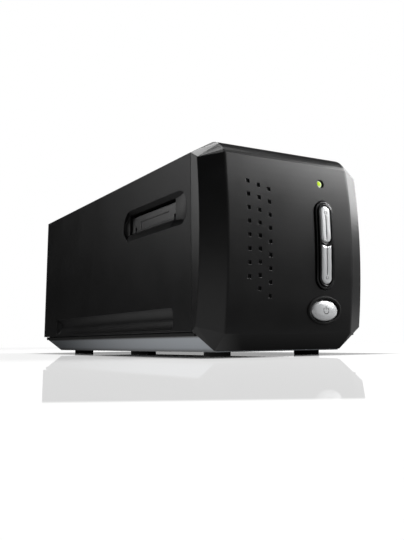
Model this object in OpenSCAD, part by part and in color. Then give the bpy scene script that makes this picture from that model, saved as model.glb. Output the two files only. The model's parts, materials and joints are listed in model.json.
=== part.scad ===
// Film negative scanner: a tall moulded box that a film holder slides through from side to side.
// Frame: X runs across the width, Y from the front face to the rear, Z up from the floor.
// The origin is on the floor, under the middle of the overall box.

/* [Overall] */
// Width of the housing
body_w = 115; // [112:1:124]
// Depth from the front face to the rear edge
body_d = 272; // [268:1:290]
// Height from the floor to the top
body_h = 119; // [118:1:128]
// Wall thickness of the moulded shells
wall = 2.5; // [2:0.25:2.75]
// Height that the rubber feet hold the base off the floor
foot_h = 2.5; // [2:0.25:3]

/* [Housing outline] */
// Sideways run of the slope along each top edge
shoulder_run = 13.5; // [11:0.5:15]
// Drop of the slope along each top edge
shoulder_drop = 7.5; // [6:0.5:9]
// Height of the lower edge of the side walls
skirt_z = 13.5; // [13:0.25:14]
// Sideways run of the slope below the side walls
keel_run = 15; // [14:0.5:17]
// Distance that the base stands in from the side walls
base_inset = 1.8; // [1.4:0.2:2.2]
// Shadow gap between the side walls and the base
skirt_gap = 1.2; // [0.8:0.2:1.6]

/* [Front bezel] */
// Depth of the bezel from its foremost line to the seam
bezel_d = 16; // [15:0.5:18]
// Height of the lower edge of the front face
face_low = 12; // [11:0.5:13]
// Height of the upper edge of the front face
face_high = 110; // [108:0.5:112]
// Radius of the front face, which bulges gently up its height
barrel_r = 335; // [300:5:400]
// Height of the foremost line of the front face
barrel_z = 73; // [68:1:78]
// Setback of the side facets where they meet the side walls
facet_d = 7.2; // [6:0.2:8]
// Radius of the moulded edges between the facets
edge_r = 1.2; // [0.6:0.2:2]
// Side of one square dimple
dimple = 2.4; // [2:0.2:3]
// Spacing of the dimples up a column
dimple_pitch = 7.4; // [6.8:0.2:7.8]
// Spacing of the dimple columns
dimple_columns = 7; // [6:0.5:8]

/* [Keys] */
// Distance of the key column from the middle of the face
key_x = 22.8; // [20:0.4:25.2]
// Width of the two long keys
key_w = 7.6; // [7:0.2:8.4]
// Height of the lowest point of the lower key
key_low = 39.4; // [38.4:0.25:40.4]
// Height of the lowest point of the upper key
key_mid = 63.25; // [61.25:0.5:65.25]
// Height of the top of the upper key
key_high = 85.25; // [83.25:0.5:87.25]
// How far the keys stand out from the face
key_proud = 2; // [1.5:0.25:3]
// Travel of a pressed key
key_travel = 0.8; // [0.6:0.1:1]
// Width of the black rim around the keys
rim_w = 0.7; // [0.6:0.1:0.9]
// Width of the lower step around the rim
step_w = 1.5; // [1.2:0.1:1.7]
// Width of the groove around the step
groove_w = 0.7; // [0.6:0.1:1]
// Depth of the groove around the step
groove_d = 1.4; // [1:0.1:1.6]
// Length of the oval power button
power_w = 21; // [19:0.2:21.4]
// Height of the oval power button
power_h = 12.6; // [11:0.2:13]
// Height of its middle above the floor
power_z = 24.8; // [24:0.2:25.2]
// Diameter of the status light
light_d = 4.4; // [3:0.2:5]
// Height of the status light
light_z = 99; // [95:0.4:101]

/* [Film way] */
// Distance from the seam to the front end of the scooped recess
pill_lead = 4.5; // [4.5:0.5:8]
// Length of the slot, a little over the width of a film holder
film_w = 64; // [62:0.5:65]
// Height of the floor of the film way
film_z = 77; // [76:0.25:78]
// Height of the slot
film_h = 13.1; // [12.5:0.1:14]
// Length of the scooped recess around a slot
pill_l = 86.5; // [84:0.5:88]
// Height of the scooped recess around a slot
pill_h = 20.4; // [20:0.2:22]
// Distance that the recess lies in front of the slot
pill_shift = 7.5; // [6:0.25:8]
// Depth of the scoop at the edge of the slot
scoop_d = 3; // [2:0.1:3]
// Distance from the scoop to the closed dust flap
flap_set = 1.6; // [1.4:0.1:2.4]
// Thickness of a dust flap
flap_t = 1.8; // [1.5:0.1:2]
// Gap above a closed dust flap
flap_gap = 1.7; // [1.3:0.1:2]
// Diameter of a flap's hinge pin
pin_d = 1.5; // [1.4:0.1:1.6]

/* [Finger grips] */
// Length of a finger grip along the side
grip_l = 202; // [180:2:208]
// Height of a finger grip
grip_h = 12.1; // [11:0.5:12.5]
// Depth of a finger grip
grip_d = 3; // [2:0.25:3.5]
// Height of the middle of a finger grip
grip_z = 20.7; // [20.7:0.2:22]

/* [Scan drive] */
// Diameter of the guide rods
rod_d = 6; // [5:0.5:6]
// Distance of each guide rod from the middle
rod_x = 38; // [37.5:0.25:38.25]
// Travel of the scan carriage
scan_travel = 30; // [26:1:32]
// Gear module of the reduction gears
gear_m = 0.5; // [0.5:0.05:0.55]
// Teeth of the motor pinion
pinion_teeth = 18; // [18:1:20]
// Teeth of the reduction gear
gear_teeth = 60; // [54:2:60]
// Diameter of the belt pulleys
pulley_d = 10; // [9:0.5:11]
// Width of the drive belt
belt_w = 5; // [4:0.5:5.5]
// Thickness of the drive belt
belt_t = 1; // [0.8:0.1:1.2]
// Diameter of the stepper motor
motor_d = 35; // [30:1:36]
// Length of the stepper motor
motor_l = 15; // [12:0.5:15.5]

/* [Feet and boards] */
// Diameter of a rubber foot
foot_d = 17; // [13:1:18]
// Depth that a foot is sunk into the base
foot_sink = 1; // [0.8:0.1:1.2]
// Distance of the feet from the middle
foot_x = 32; // [30:0.5:32]
// Thickness of the circuit boards
board_t = 1.6; // [1.2:0.2:1.8]
// Height of the main board above the floor of the base
board_lift = 8.5; // [8:0.25:9]

/* [Hidden] */
$fn = 48;
eps = 0.01;

// Clearances
fit = 0.2;          // between shells that are put together
running = 0.3;      // between pieces that move past each other
bearing = 0.05;     // radial clearance of a shaft that turns or slides

// Outline of the box
half_w = body_w / 2;
face_y = -(body_d - key_proud) / 2;
rear_y = (body_d + key_proud) / 2;
seam_y = face_y + bezel_d;
shoulder_x = half_w - shoulder_run;
shoulder_z = body_h - shoulder_drop;
keel_x = half_w - keel_run;
slope_l = norm([shoulder_run, shoulder_drop]);
base_top = skirt_z - skirt_gap;
base_x = half_w - base_inset;
base_floor = foot_h + wall;
base_front = seam_y + fit;
base_rear = rear_y - 1;
panel_y = rear_y - 1 - wall;
rim_x = half_w - wall - 1.6;
rim_top = skirt_z + 1.2;

// Film way and slots
pill_y = seam_y + pill_lead + pill_l / 2;
film_y = pill_y + pill_shift;
film_top = film_z + film_h;
pill_z = film_z + film_h / 2 - 1.5;
flap_x = half_w - scoop_d - flap_set - flap_t / 2;
flap_r = 1.25;
flap_pivot_z = film_z + flap_r + fit;
flap_top = film_top - flap_gap;
flap_l = film_w - 1;
pad_in = flap_x - flap_r - 0.9;
flap_reach = flap_top - flap_pivot_z;

// Inner frame
deck_z = 24;
deck_t = 2;
deck_top = deck_z + deck_t;
frame_t = 2;
frame_x = pad_in - 1.2;
frame_front = seam_y + 5;
frame_rear = rear_y - 22;
gate_t = 3;
gate_floor = flap_pivot_z + flap_t / 2 + fit;
gate_z = gate_floor - gate_t;
rod_z = 45;
leg_d = 8;
leg_x = 37.5;
leg_y = [frame_front + 8, frame_rear - 14];

// Gears and belt
drive_y = frame_front + 24;
gear_r = gear_m * gear_teeth / 2;
pinion_r = gear_m * pinion_teeth / 2;
mesh_gap = 0.1;
tooth_play = 0.08;   // taken off each flank of a tooth
motor_x = -(gear_r + pinion_r + mesh_gap);
gear_z = deck_top + 1;
gear_t = 3;
belt_z = gear_z + gear_t + 1.2;
belt_x = pulley_d / 2 + belt_t / 2;
idler_y = frame_rear - 14;
post_d = 4;
shaft_d = 2;

// Scan carriage
carriage_x = 30;
carriage_z = belt_z + belt_w + 2.5;
carriage_top = gate_z - 2.5;
optic_lift = 15;
optic_z = carriage_z + optic_lift;
slit_y = film_y - scan_travel / 2;
slit_lead = 17;
carriage_front = slit_y - slit_lead;
carriage_l = 160;
carriage_rear = carriage_front + carriage_l;
lens_back = 58;
lens_y = carriage_rear - lens_back;
lens_d = 18;
lens_l = 24;
lens_rim = 1.5;
lens_saddle = 4;
bush_wall = 2;
bush_l = 12;
ear_y = [carriage_front + 8, carriage_rear - 8 - bush_l];

// Boards
board_z = base_floor + board_lift;
board_top = board_z + board_t;
board_lead = 12;
board_rear = panel_y - 1.5;
board_y = [film_y + board_lead, board_rear];
board_x = 32;

// ---------- shared shapes ----------

// Outline of the housing seen from the front, moved in by t on every side, and open at the bottom
module upper_outline(t, low) {
    side_z = shoulder_z - t * (slope_l - shoulder_drop) / shoulder_run;
    top_x = shoulder_x - t * (slope_l - shoulder_run) / shoulder_drop;
    polygon([[t - half_w, low], [half_w - t, low], [half_w - t, side_z],
        [top_x, body_h - t], [-top_x, body_h - t], [t - half_w, side_z]]);
}

// Keel of the base seen from the front: a trapezium moved in by t on its sloping sides
module keel_outline(t, low, high) {
    rise = base_top - foot_h;
    out = base_x - keel_x;
    side = t * norm([rise, out]) / rise;
    low_x = keel_x + out * (low - foot_h) / rise - side;
    high_x = keel_x + out * (high - foot_h) / rise - side;
    polygon([[-low_x, low], [low_x, low], [high_x, high], [-high_x, high]]);
}

// Turns a shape drawn in X and Z into a bar that runs along Y
module along_y(y0, y1) {
    translate([0, y1, 0]) rotate([90, 0, 0]) linear_extrude(y1 - y0) children();
}

// Turns a shape drawn in Y and Z into a bar that runs along X
module along_x(x0, x1) {
    translate([x0, 0, 0]) rotate([90, 0, 90]) linear_extrude(x1 - x0) children();
}

// A bar outline with round ends: l long along the first axis and h high
module stadium(l, h) {
    for (side = [-1, 1]) translate([side * (l - h) / 2, 0]) circle(d = h);
    square([l - h, h], center = true);
}

// A rectangle with rounded corners
module rounded_bar(l, h, r) {
    for (a = [-1, 1], b = [-1, 1]) translate([a * (l / 2 - r), b * (h / 2 - r)]) circle(r = r);
    square([l - 2 * r, h], center = true);
    square([l, h - 2 * r], center = true);
}

module upright_stadium(w, z0, z1) {
    translate([0, (z0 + z1) / 2]) rotate(90) stadium(z1 - z0, w);
}

module box(x0, x1, y0, y1, z0, z1) {
    translate([x0, y0, z0]) cube([x1 - x0, y1 - y0, z1 - z0]);
}

module rod_y(d, y0, y1, x, z) {
    translate([x, y1, z]) rotate([90, 0, 0]) cylinder(d = d, h = y1 - y0);
}

module post_z(d, x, y, z0, z1) {
    translate([x, y, z0]) cylinder(d = d, h = z1 - z0);
}

module on_both_sides() {
    children();
    mirror([1, 0, 0]) children();
}

// Points of the arc that rounds the corner b between a and c
function corner_arc(a, b, c, r, steps) =
    let (u = (a - b) / norm(a - b), v = (c - b) / norm(c - b),
        half = acos(max(-1, min(1, u * v))) / 2,
        m = (u + v) / norm(u + v),
        centre = b + m * r / sin(half),
        start = b + u * r / tan(half),
        end = b + v * r / tan(half),
        a0 = atan2(start[1] - centre[1], start[0] - centre[0]),
        turn = atan2(end[1] - centre[1], end[0] - centre[0]) - a0,
        sweep = turn > 180 ? turn - 360 : turn < -180 ? turn + 360 : turn)
    [for (i = [0:steps]) centre + r * [cos(a0 + sweep * i / steps), sin(a0 + sweep * i / steps)]];

// Front of the box at height z: an arc that is foremost at barrel_z
function face_at(z) = face_y + barrel_r - sqrt(barrel_r * barrel_r - pow(z - barrel_z, 2));

function ellipse_points(w, h, count = 64) =
    [for (i = [0:count - 1]) [w / 2 * cos(360 * i / count), h / 2 * sin(360 * i / count)]];

// ---------- housing ----------

grip_r = (pow(grip_h / 2, 2) + pow(grip_d, 2)) / (2 * grip_d);
grip_reach = (grip_l - grip_h) / 2;
grip_corner = 3;

// Inner skin of the wall behind a finger grip
module grip_skin() {
    translate([half_w + grip_r - grip_d, grip_y, grip_z]) {
        rotate([90, 0, 0]) cylinder(r = grip_r + wall, h = 2 * grip_reach, center = true);
        for (side = [-1, 1]) translate([0, side * grip_reach, 0]) sphere(r = grip_r + wall);
    }
}

// Hollow of a finger grip: a trough whose ends come out in the same curve as its edges
module grip_scoop() {
    intersection() {
        translate([half_w + grip_r - grip_d, grip_y, grip_z]) rotate([90, 0, 0])
            cylinder(r = grip_r, h = grip_l, center = true);
        translate([half_w + grip_r - grip_d, grip_y, grip_z - grip_h]) linear_extrude(2 * grip_h) {
            for (side = [-1, 1]) translate([0, side * grip_reach]) circle(r = grip_r);
            square([2 * grip_r, 2 * grip_reach], center = true);
        }
        translate([0, grip_y, grip_z]) along_x(half_w - grip_d - 1, half_w + 1)
            rounded_bar(grip_l, grip_h, grip_corner);
    }
}
grip_y = (seam_y + rear_y) / 2 - 5.25;

// Scooped recess around a slot: round ends that sink to the slot, and straight bevels above and below it
module slot_scoop() {
    intersection() {
        translate([0, pill_y, pill_z]) along_x(half_w - scoop_d - eps, half_w + 1) stadium(pill_l, pill_h);
        along_y(pill_y - pill_l, pill_y + pill_l) polygon([
            [half_w - scoop_d - eps, film_z], [half_w + 1, pill_z - pill_h / 2 - 1],
            [half_w + 1, pill_z + pill_h / 2 + 1], [half_w - scoop_d - eps, film_top]]);
        translate([0, 0, pill_z - pill_h]) linear_extrude(2 * pill_h) union() {
            box_y = [film_y - film_w / 2, film_y + film_w / 2];
            translate([half_w - scoop_d - eps, box_y[0]]) square([scoop_d + 2, film_w]);
            scoop_end(box_y[0], box_y[0] - (pill_y - pill_l / 2));
            scoop_end(box_y[1], pill_y + pill_l / 2 - box_y[1]);
        }
    }
}

// Plan of one scooped end: a disc that is deepest at y and comes out to the side wall at the given run
module scoop_end(y, run) {
    r = (run * run + scoop_d * scoop_d) / (2 * scoop_d);
    translate([half_w + r - scoop_d, y]) circle(r = r, $fn = 180);
}

rear_boss_d = 6.4;
rear_screw_x = half_w - wall - fit - rear_boss_d / 2 - fit;
rear_screw_z = [36, 92];
rear_screw_d = 2.3;
rear_screw_l = 9;
rear_screw_sink = 1.8;
rear_bore_d = 2.4;

// Moulded sleeve: two side walls, two sloping shoulders and the top, open below and at both ends
module upper_housing() {
    color("#1b1b1c") difference() {
        union() {
            difference() {
                along_y(seam_y + fit, rear_y) upper_outline(0, skirt_z);
                along_y(seam_y - 1, rear_y + 1) upper_outline(wall, skirt_z - 1);
            }
            on_both_sides() {
                // the grips keep the wall's thickness
                intersection() {
                    grip_skin();
                    box(half_w - wall - grip_d, half_w - eps, seam_y + 8, rear_y - 8, skirt_z, skirt_z + 20);
                }
                // block that the slot and the flap's hinge are formed in
                translate([0, film_y, film_z + film_h / 2]) along_x(pad_in, half_w - wall + eps)
                    square([film_w + 9, film_h + 9], center = true);
                translate([0, pill_y, pill_z]) along_x(half_w - scoop_d - wall, half_w - wall + eps)
                    stadium(pill_l + wall, pill_h + wall);
                // bosses that the rear panel is screwed to
                for (z = rear_screw_z) {
                    rod_y(rear_boss_d, panel_y - rear_screw_l - 3, panel_y - fit, rear_screw_x, z);
                    box(rear_screw_x, half_w - wall + eps, panel_y - rear_screw_l - 3, panel_y - fit,
                        z - 1.5, z + 1.5);
                }
            }
            // cross rib under the top
            difference() {
                along_y(film_y + film_w, film_y + film_w + wall) upper_outline(wall - eps, shoulder_z - 18);
                along_y(film_y, film_y + film_w + 3 * wall) upper_outline(wall + 3, shoulder_z - 19);
            }
        }
        on_both_sides() {
            grip_scoop();
            slot_scoop();
            box(pad_in - 1, half_w, film_y - film_w / 2, film_y + film_w / 2, film_z, film_top);
            rod_y(pin_d, film_y - film_w / 2 - 3, film_y + film_w / 2 + 3, flap_x, flap_pivot_z);
            for (z = rear_screw_z) rod_y(rear_bore_d, panel_y - rear_screw_l - 1, panel_y, rear_screw_x, z);
        }
    }
}

// ---------- base ----------

foot_lead = 25;
foot_mid = 123;
foot_tail = 22;
foot_edge = 0.8;
foot_play = 0.1;
foot_y = [seam_y + foot_lead, seam_y + foot_mid, rear_y - foot_tail];
screw_seat = foot_h + 2;
leg_screw_d = 3;
leg_screw_l = 11;
vent_count = 9;

module foot_spots() {
    for (y = foot_y, side = [-1, 1]) translate([side * foot_x, y, 0]) children();
}

module leg_spots() {
    for (y = leg_y, side = [-1, 1]) translate([side * leg_x, y, 0]) children();
}

board_post_x = board_x - 4;
board_post_y = [board_y[0] + 5, board_y[1] - 22];
module board_post_spots() {
    for (y = board_post_y, side = [-1, 1]) translate([side * board_post_x, y, 0]) children();
}

// Grey tray: a keel with sloping sides, closed at both ends, with ribs, bosses and a field of vents
module base_tray() {
    color("#787d83") difference() {
        union() {
            difference() {
                along_y(base_front, base_rear) keel_outline(0, foot_h, base_top);
                along_y(base_front + wall, base_rear - wall) keel_outline(wall, base_floor, base_top + 1);
            }
            // rim that closes the shadow gap behind the side walls, and the pads that these stand on
            on_both_sides() {
                box(rim_x - 2, rim_x, base_front, base_rear, base_top - 1, rim_top);
                box(rim_x - 2, base_x - 0.3, base_rear - 1.5, base_rear, base_top - 1, skirt_z - fit);
                for (y = foot_y) box(rim_x - eps, base_x - 0.3, y - 5, y + 5, base_top - 0.2, skirt_z - fit);
                intersection() {
                    box(rim_x - 2, base_x, base_front, base_rear, base_top - 5, base_top);
                    along_y(base_front, base_rear) keel_outline(0, foot_h, base_top);
                }
            }
            // stiffening ribs across the floor
            for (y = [film_y - 26, film_y + 4, frame_rear - 2])
                intersection() {
                    along_y(y, y + 1.5) keel_outline(1, foot_h, base_top);
                    box(-half_w, half_w, y - 1, y + 3, foot_h, base_floor + 2.5);
                }
            leg_spots() cylinder(d = leg_d + 3, h = base_floor + 2);
            board_post_spots() translate([0, 0, foot_h]) cylinder(d = 6, h = board_z - foot_h);
            foot_spots() translate([0, 0, foot_h]) cylinder(d = foot_d + 3, h = wall + foot_sink);
        }
        translate([0, 0, foot_h - 10]) linear_extrude(10) square([body_w, 2 * body_d], center = true);
        foot_spots() cylinder(d = foot_d + 2 * foot_play, h = foot_h + foot_sink);
        leg_spots() {
            cylinder(d = leg_screw_d + 2 * fit, h = base_floor + 3);
            cylinder(d = 2.3 * leg_screw_d, h = screw_seat);
        }
        board_post_spots() translate([0, 0, base_floor]) cylinder(d = 2.2, h = board_lift + 1);
        for (i = [0:vent_count - 1]) translate([0, film_y + 40 + 7 * i, foot_h - 1])
            linear_extrude(wall + 2) stadium(36, 2.5);
    }
}

module rubber_feet() {
    color("#141414") foot_spots() rotate_extrude()
        polygon([[0, 0], [foot_d / 2 - foot_edge, 0], [foot_d / 2, foot_edge],
            [foot_d / 2, foot_h + foot_sink - bearing], [0, foot_h + foot_sink - bearing]]);
}

// ---------- front bezel ----------

side_low = skirt_z + 2.3;
side_high = shoulder_z - 4.3;
bezel_low = foot_h + 0.6;

function mix(a, b, t) = a + (b - a) * t;

// Outline in Y and Z of the bezel, between its middle (t = 0) and its side walls (t = 1)
function bezel_profile(t, setback, inset) =
    let (low = mix(face_low, side_low, t) + inset, high = mix(face_high, side_high, t) - inset,
        front_low = face_at(low) + setback + inset, front_high = face_at(high) + setback + inset,
        top = mix(body_h, shoulder_z, t) - inset, bottom = mix(bezel_low, skirt_z, t) + inset,
        back = seam_y + (inset > 0 ? 2 : 0),
        dy = seam_y - front_high, drop = top - high, r = (dy * dy + drop * drop) / (2 * drop),
        span = 2 * asin(min(1, norm([dy, drop]) / (2 * r))))
    concat(
        [[back, bottom]],
        [for (i = [0:24]) let (z = mix(low, high, i / 24)) [min(face_at(z) + setback + inset, seam_y), z]],
        [for (i = [1:8]) let (a = span * (1 - i / 8),
            arc = [seam_y - r * sin(a), top - r * (1 - cos(a))],
            line = [mix(front_high, seam_y, i / 8), mix(high, top, i / 8)]) mix(arc, line, t)],
        [[back, top]]);

// Half widths and setbacks of the slices that the bezel's form is spanned over
function bezel_slices(inset) =
    let (a = [0, 0], b = [shoulder_x, 0], c = [half_w, facet_d], d = [half_w, bezel_d])
    concat(corner_arc(a, b, c, 4 * edge_r, 4), corner_arc(b, c, d, edge_r, 4));

module bezel_form(inset) {
    hull() for (slice = bezel_slices(inset)) {
        t = max(0, min(1, (slice[0] - shoulder_x) / shoulder_run));
        x = slice[0] - inset;
        along_x(-x, x) polygon(bezel_profile(t, slice[1], inset));
    }
}

// Square dimples in three columns that step down towards the middle of the face, each with its own spacing
module dimple_field() {
    for (column = [0:2], row = [0:dimple_rows[column] - 1]) {
        z = dimple_high - dimple_step * column - dimple_pitch * dimple_share[column] * row;
        translate([dimple_left + dimple_columns * column, face_at(z) + dimple_t, z]) rotate([90, 45, 0])
            cylinder(d1 = 0.8 * dimple * sqrt(2), d2 = dimple * sqrt(2), h = dimple_t + 0.4, $fn = 4);
    }
}
dimple_left = -30;
dimple_high = 95.1;
dimple_step = 1.7;
dimple_t = 1.2;
dimple_rows = [8, 9, 9];
dimple_share = [1.02, 0.97, 1.005];

key_gap = 0.4;
web_t = 1.2;
lip_l = 3;
key_hole = key_w + 2 * key_gap;
rim_out = key_hole + 2 * rim_w;
collar_out = rim_out + 2 * step_w;
groove_out = collar_out + 2 * groove_w;
rim_h = 1.9;
step_h = 1;
rim_groove_w = 0.4;
rim_groove_d = 0.6;
key_arc_z = key_mid + key_w / 2;
flange_w = 1.5;
flange_t = 1.2;
back_edge = key_gap + 0.6;
back_split = 2.6;
collar_back = face_at(key_low - key_gap - rim_w - step_w - flange_w) + wall + fit + flange_w;
power_flange = face_at(power_z - power_h / 2) + wall + fit;
press_gap = 0.15;
stem_l = 0.6;
stem_d = 3.2;
switch_h = 3.5;
switch_w = 6;
plunger_l = 0.8;
switch_y = max(collar_back + fit, power_flange) + flange_t + stem_l + key_travel + press_gap + switch_h;
stem_end = switch_y - switch_h - key_travel - press_gap;
light_x = key_x - 0.2;
dish_w = 1.4;
dish_d = 1.8;
switch_post_x = key_x - 11;
switch_post_z = [power_z + power_h / 2 + 4.4, key_high + 6.5];

// Solid of the front's barrel, grown by t
module barrel(t) {
    translate([0, face_y + barrel_r, barrel_z]) rotate([0, 90, 0])
        cylinder(r = barrel_r + t, h = body_w, center = true, $fn = 720);
}

// Bar along Y with an upright round-ended outline, centred on the keys
module key_bar(w, z0, z1, y0, y1) {
    translate([key_x, 0, 0]) along_y(y0, y1) upright_stadium(w, z0, z1);
}

// The same, w wide, around the whole key column
module collar_bar(w, y0, y1) {
    key_bar(w, key_low - (w - key_w) / 2, key_high + (w - key_w) / 2, y0, y1);
}

module power_bar(grow, y0, y1) {
    translate([key_x, 0, power_z]) along_y(y0, y1)
        polygon(ellipse_points(power_w + 2 * grow, power_h + 2 * grow));
}

module switch_post_spots() {
    for (x = [switch_post_x, 2 * key_x - switch_post_x], z = switch_post_z) translate([x, 0, z]) children();
}

// Cut-gem front: bulging face, sloping side facets, rounded brow and corner facets, on a lip that
// slides into the housing
module front_bezel() {
    color("#202021") difference() {
        union() {
            difference() {
                bezel_form(0);
                bezel_form(wall);
            }
            difference() {
                union() {
                    along_y(seam_y - 2, seam_y) upper_outline(wall - 0.6, 34);
                    along_y(seam_y - eps, seam_y + lip_l) upper_outline(wall + fit, 34);
                }
                along_y(seam_y - 3, seam_y + 5) upper_outline(wall + fit + 1.5, 33);
            }
            intersection() {
                bezel_form(1);
                switch_post_spots() rotate([-90, 0, 0]) translate([0, 0, face_y])
                    cylinder(d = 5, h = switch_y - face_y);
            }
        }
        dimple_field();
        difference() {
            collar_bar(groove_out, face_y - 5, face_y + 10);
            barrel(-groove_d);
        }
        collar_bar(collar_out + fit, face_y - 5, face_y + 10);
        difference() {
            power_bar(dish_w, face_y - 5, face_y + 10);
            barrel(-dish_d);
        }
        power_bar(running, face_y - 5, face_y + 12);
        rod_y(light_d + 0.6, face_y - 5, face_y + 8, light_x, light_z);
        switch_post_spots() rotate([-90, 0, 0]) translate([0, 0, switch_y - 5]) cylinder(d = 1.8, h = 6);
    }
}

module key_holes() {
    upright_stadium(key_hole, key_mid - key_gap, key_high + key_gap);
    difference() {
        upright_stadium(key_hole, key_low - key_gap, key_mid + key_w);
        translate([0, key_arc_z]) circle(r = key_w / 2 + key_gap + web_t);
        translate([-key_w, key_arc_z]) square(2 * key_w);
    }
}

// Black frame around the two long keys: a raised rim on a wider step, with a web between the keys and
// a flange behind the face
module key_collar() {
    color("#0c0c0d") difference() {
        union() {
            intersection() {
                barrel(step_h);
                collar_bar(collar_out, face_y - 2, collar_back);
            }
            intersection() {
                barrel(rim_h);
                collar_bar(rim_out, face_y - 3, collar_back);
            }
            collar_bar(collar_out + 2 * flange_w, collar_back - flange_w, collar_back);
        }
        difference() {
            collar_bar(rim_out + 2 * rim_groove_w, face_y - 3, face_y + 10);
            collar_bar(rim_out, face_y - 4, face_y + 11);
            barrel(step_h - rim_groove_d);
        }
        translate([key_x, 0, 0]) along_y(face_y - 3, collar_back + 1) key_holes();
    }
}

// Key with a rounded edge that follows the face's bulge
module key_cap(z0, z1) {
    hull() {
        intersection() {
            barrel(key_proud - 1);
            key_bar(key_w, z0, z1, face_y - 5, collar_back + fit + eps);
        }
        intersection() {
            barrel(key_proud - 0.3);
            key_bar(key_w - 0.8, z0 + 0.4, z1 - 0.4, face_y - 5, collar_back);
        }
        intersection() {
            barrel(key_proud);
            key_bar(key_w - 2, z0 + 1, z1 - 1, face_y - 5, collar_back);
        }
    }
}

// Fine line engraved down the middle of a key
module key_line(z0, z1) {
    difference() {
        translate([key_x - 0.3, face_y - 5, z0]) cube([0.6, 12, z1 - z0]);
        barrel(key_proud - 0.35);
    }
}

module key_back(z0, z1) {
    key_bar(key_w + 2 * back_edge, z0 - back_edge, z1 + back_edge, collar_back + fit,
        collar_back + fit + flange_t);
    rod_y(stem_d, collar_back + fit, stem_end, key_x, (z0 + z1) / 2);
}

module upper_key() {
    color("#c9cbcd") difference() {
        union() {
            key_cap(key_mid, key_high);
            key_back(key_mid, key_high);
        }
        key_line(key_mid + 1.5, key_high - 5.5);
    }
}

module lower_key() {
    color("#c9cbcd") difference() {
        union() {
            key_cap(key_low, key_mid + key_w / 2);
            key_back(key_low, key_mid - back_split);
        }
        rod_y(key_w + 2 * (web_t + 2 * key_gap), face_y - 8, collar_back + 5, key_x, key_arc_z);
        translate([0, face_y - 8, key_arc_z]) cube([half_w, 30, key_w]);
        key_line(key_low + 5.5, key_mid + 2);
    }
}

// Domed oval button with a flange behind the face and a stem to its switch
module power_button() {
    tip = face_at(power_z) - 1.9;
    color("#cfd1d3") {
        hull() for (step = [[0.3, 0], [0.55, 0.12], [0.75, 0.4], [0.9, 0.9], [0.97, 1.5], [1, 2.3]])
            translate([key_x, tip + step[1] + 0.1, power_z]) rotate([90, 0, 0]) linear_extrude(0.1)
                polygon(step[0] * ellipse_points(power_w, power_h));
        power_bar(0, tip + 2.3, power_flange + 1);
        power_bar(1, power_flange, power_flange + flange_t);
        rod_y(stem_d, power_flange, stem_end, key_x, power_z);
    }
}

// Light pipe with a domed end just below the face, standing on the switch board
module status_light() {
    tip = face_at(light_z) + 0.5;
    color("#b9e11c") translate([light_x, tip, light_z]) rotate([-90, 0, 0]) rotate_extrude() intersection() {
        translate([0, light_d / 2 + 0.3]) union() {
            circle(r = light_d / 2 + 0.3);
            translate([0, 0]) square([light_d, switch_y - tip]);
        }
        square([light_d / 2, switch_y - tip]);
    }
}

module switch_board() {
    color("#1d5c38") difference() {
        box(switch_post_x - 3, 2 * key_x - switch_post_x + 3, switch_y, switch_y + board_t,
            power_z - 8, light_z + 5);
        switch_post_spots() rotate([-90, 0, 0]) translate([0, 0, switch_y - 1]) cylinder(d = 2.2, h = 4);
    }
}

// Square tact switches, one behind each key, with their round plungers
module key_switches() {
    color("#2a2a2c") for (z = [(key_mid + key_high) / 2, (key_low + key_mid - back_split) / 2, power_z])
        translate([key_x, 0, z]) {
            box(-switch_w / 2, switch_w / 2, switch_y - switch_h + plunger_l, switch_y,
                -switch_w / 2, switch_w / 2);
            rod_y(stem_d, switch_y - switch_h, switch_y - switch_h / 2, 0, 0);
        }
}

// ---------- rear ----------

usb_x = -22;
usb_w = 12;
usb_h = 11;
jack_x = 20;
jack_w = 9;
jack_h = 11;
slot_count = 8;
slot_x = 20;
slot_z = 70;
slot_pitch = 4.5;
slot_l = 26;
slot_h = 2;

// Flat panel let into the back, with windows for the sockets and a field of cooling slots
module rear_panel() {
    color("#1c1c1d") difference() {
        union() {
            along_y(panel_y, rear_y - 1) upper_outline(wall + fit, rim_top + fit);
            box(fit - rim_x + 2, rim_x - 2 - fit, panel_y, rear_y - 1, base_top + fit, rim_top + fit + 1);
        }
        socket_window(usb_x, usb_w, usb_h, board_top);
        socket_window(jack_x, jack_w, jack_h, board_top);
        for (side = [-1, 1], z = rear_screw_z) {
            rod_y(rear_screw_d + 4 * fit, panel_y - 1, rear_y, side * rear_screw_x, z);
            rod_y(2.6 * rear_screw_d, rear_y - rear_screw_sink, rear_y, side * rear_screw_x, z);
        }
        for (side = [-1, 1], i = [0:slot_count - 1]) translate([side * slot_x, 0, slot_z + slot_pitch * i])
            along_y(panel_y - 1, rear_y) stadium(slot_l, slot_h);
    }
}

module socket_window(x, w, h, z) {
    box(x - w / 2 - fit, x + w / 2 + fit, panel_y - 1, rear_y + 1, z - fit, z + h + fit);
}

// Pan-headed screws: head radius, head height, shank radius and length, with the head's face at the origin
module pan_screw(d, l) {
    rotate_extrude() polygon([[0, -d * 0.6], [d * 0.6, -d * 0.6], [d * 0.95, -d * 0.25], [d * 0.95, 0],
        [d / 2, 0], [d / 2, l], [0, l]]);
}

module rear_screws() {
    color("#8b8e92") for (side = [-1, 1], z = rear_screw_z)
        translate([side * rear_screw_x, rear_y - rear_screw_sink, z]) rotate([90, 0, 0])
            pan_screw(rear_screw_d, rear_screw_l);
}

// ---------- film way ----------

notch_w = 2.6;
notch_h = 3.4;
notch_y = [film_y - flap_l / 2 + 1.8, film_y + flap_l / 2 - 7];
field_in = [11, 13];
field_h = 6;

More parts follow.
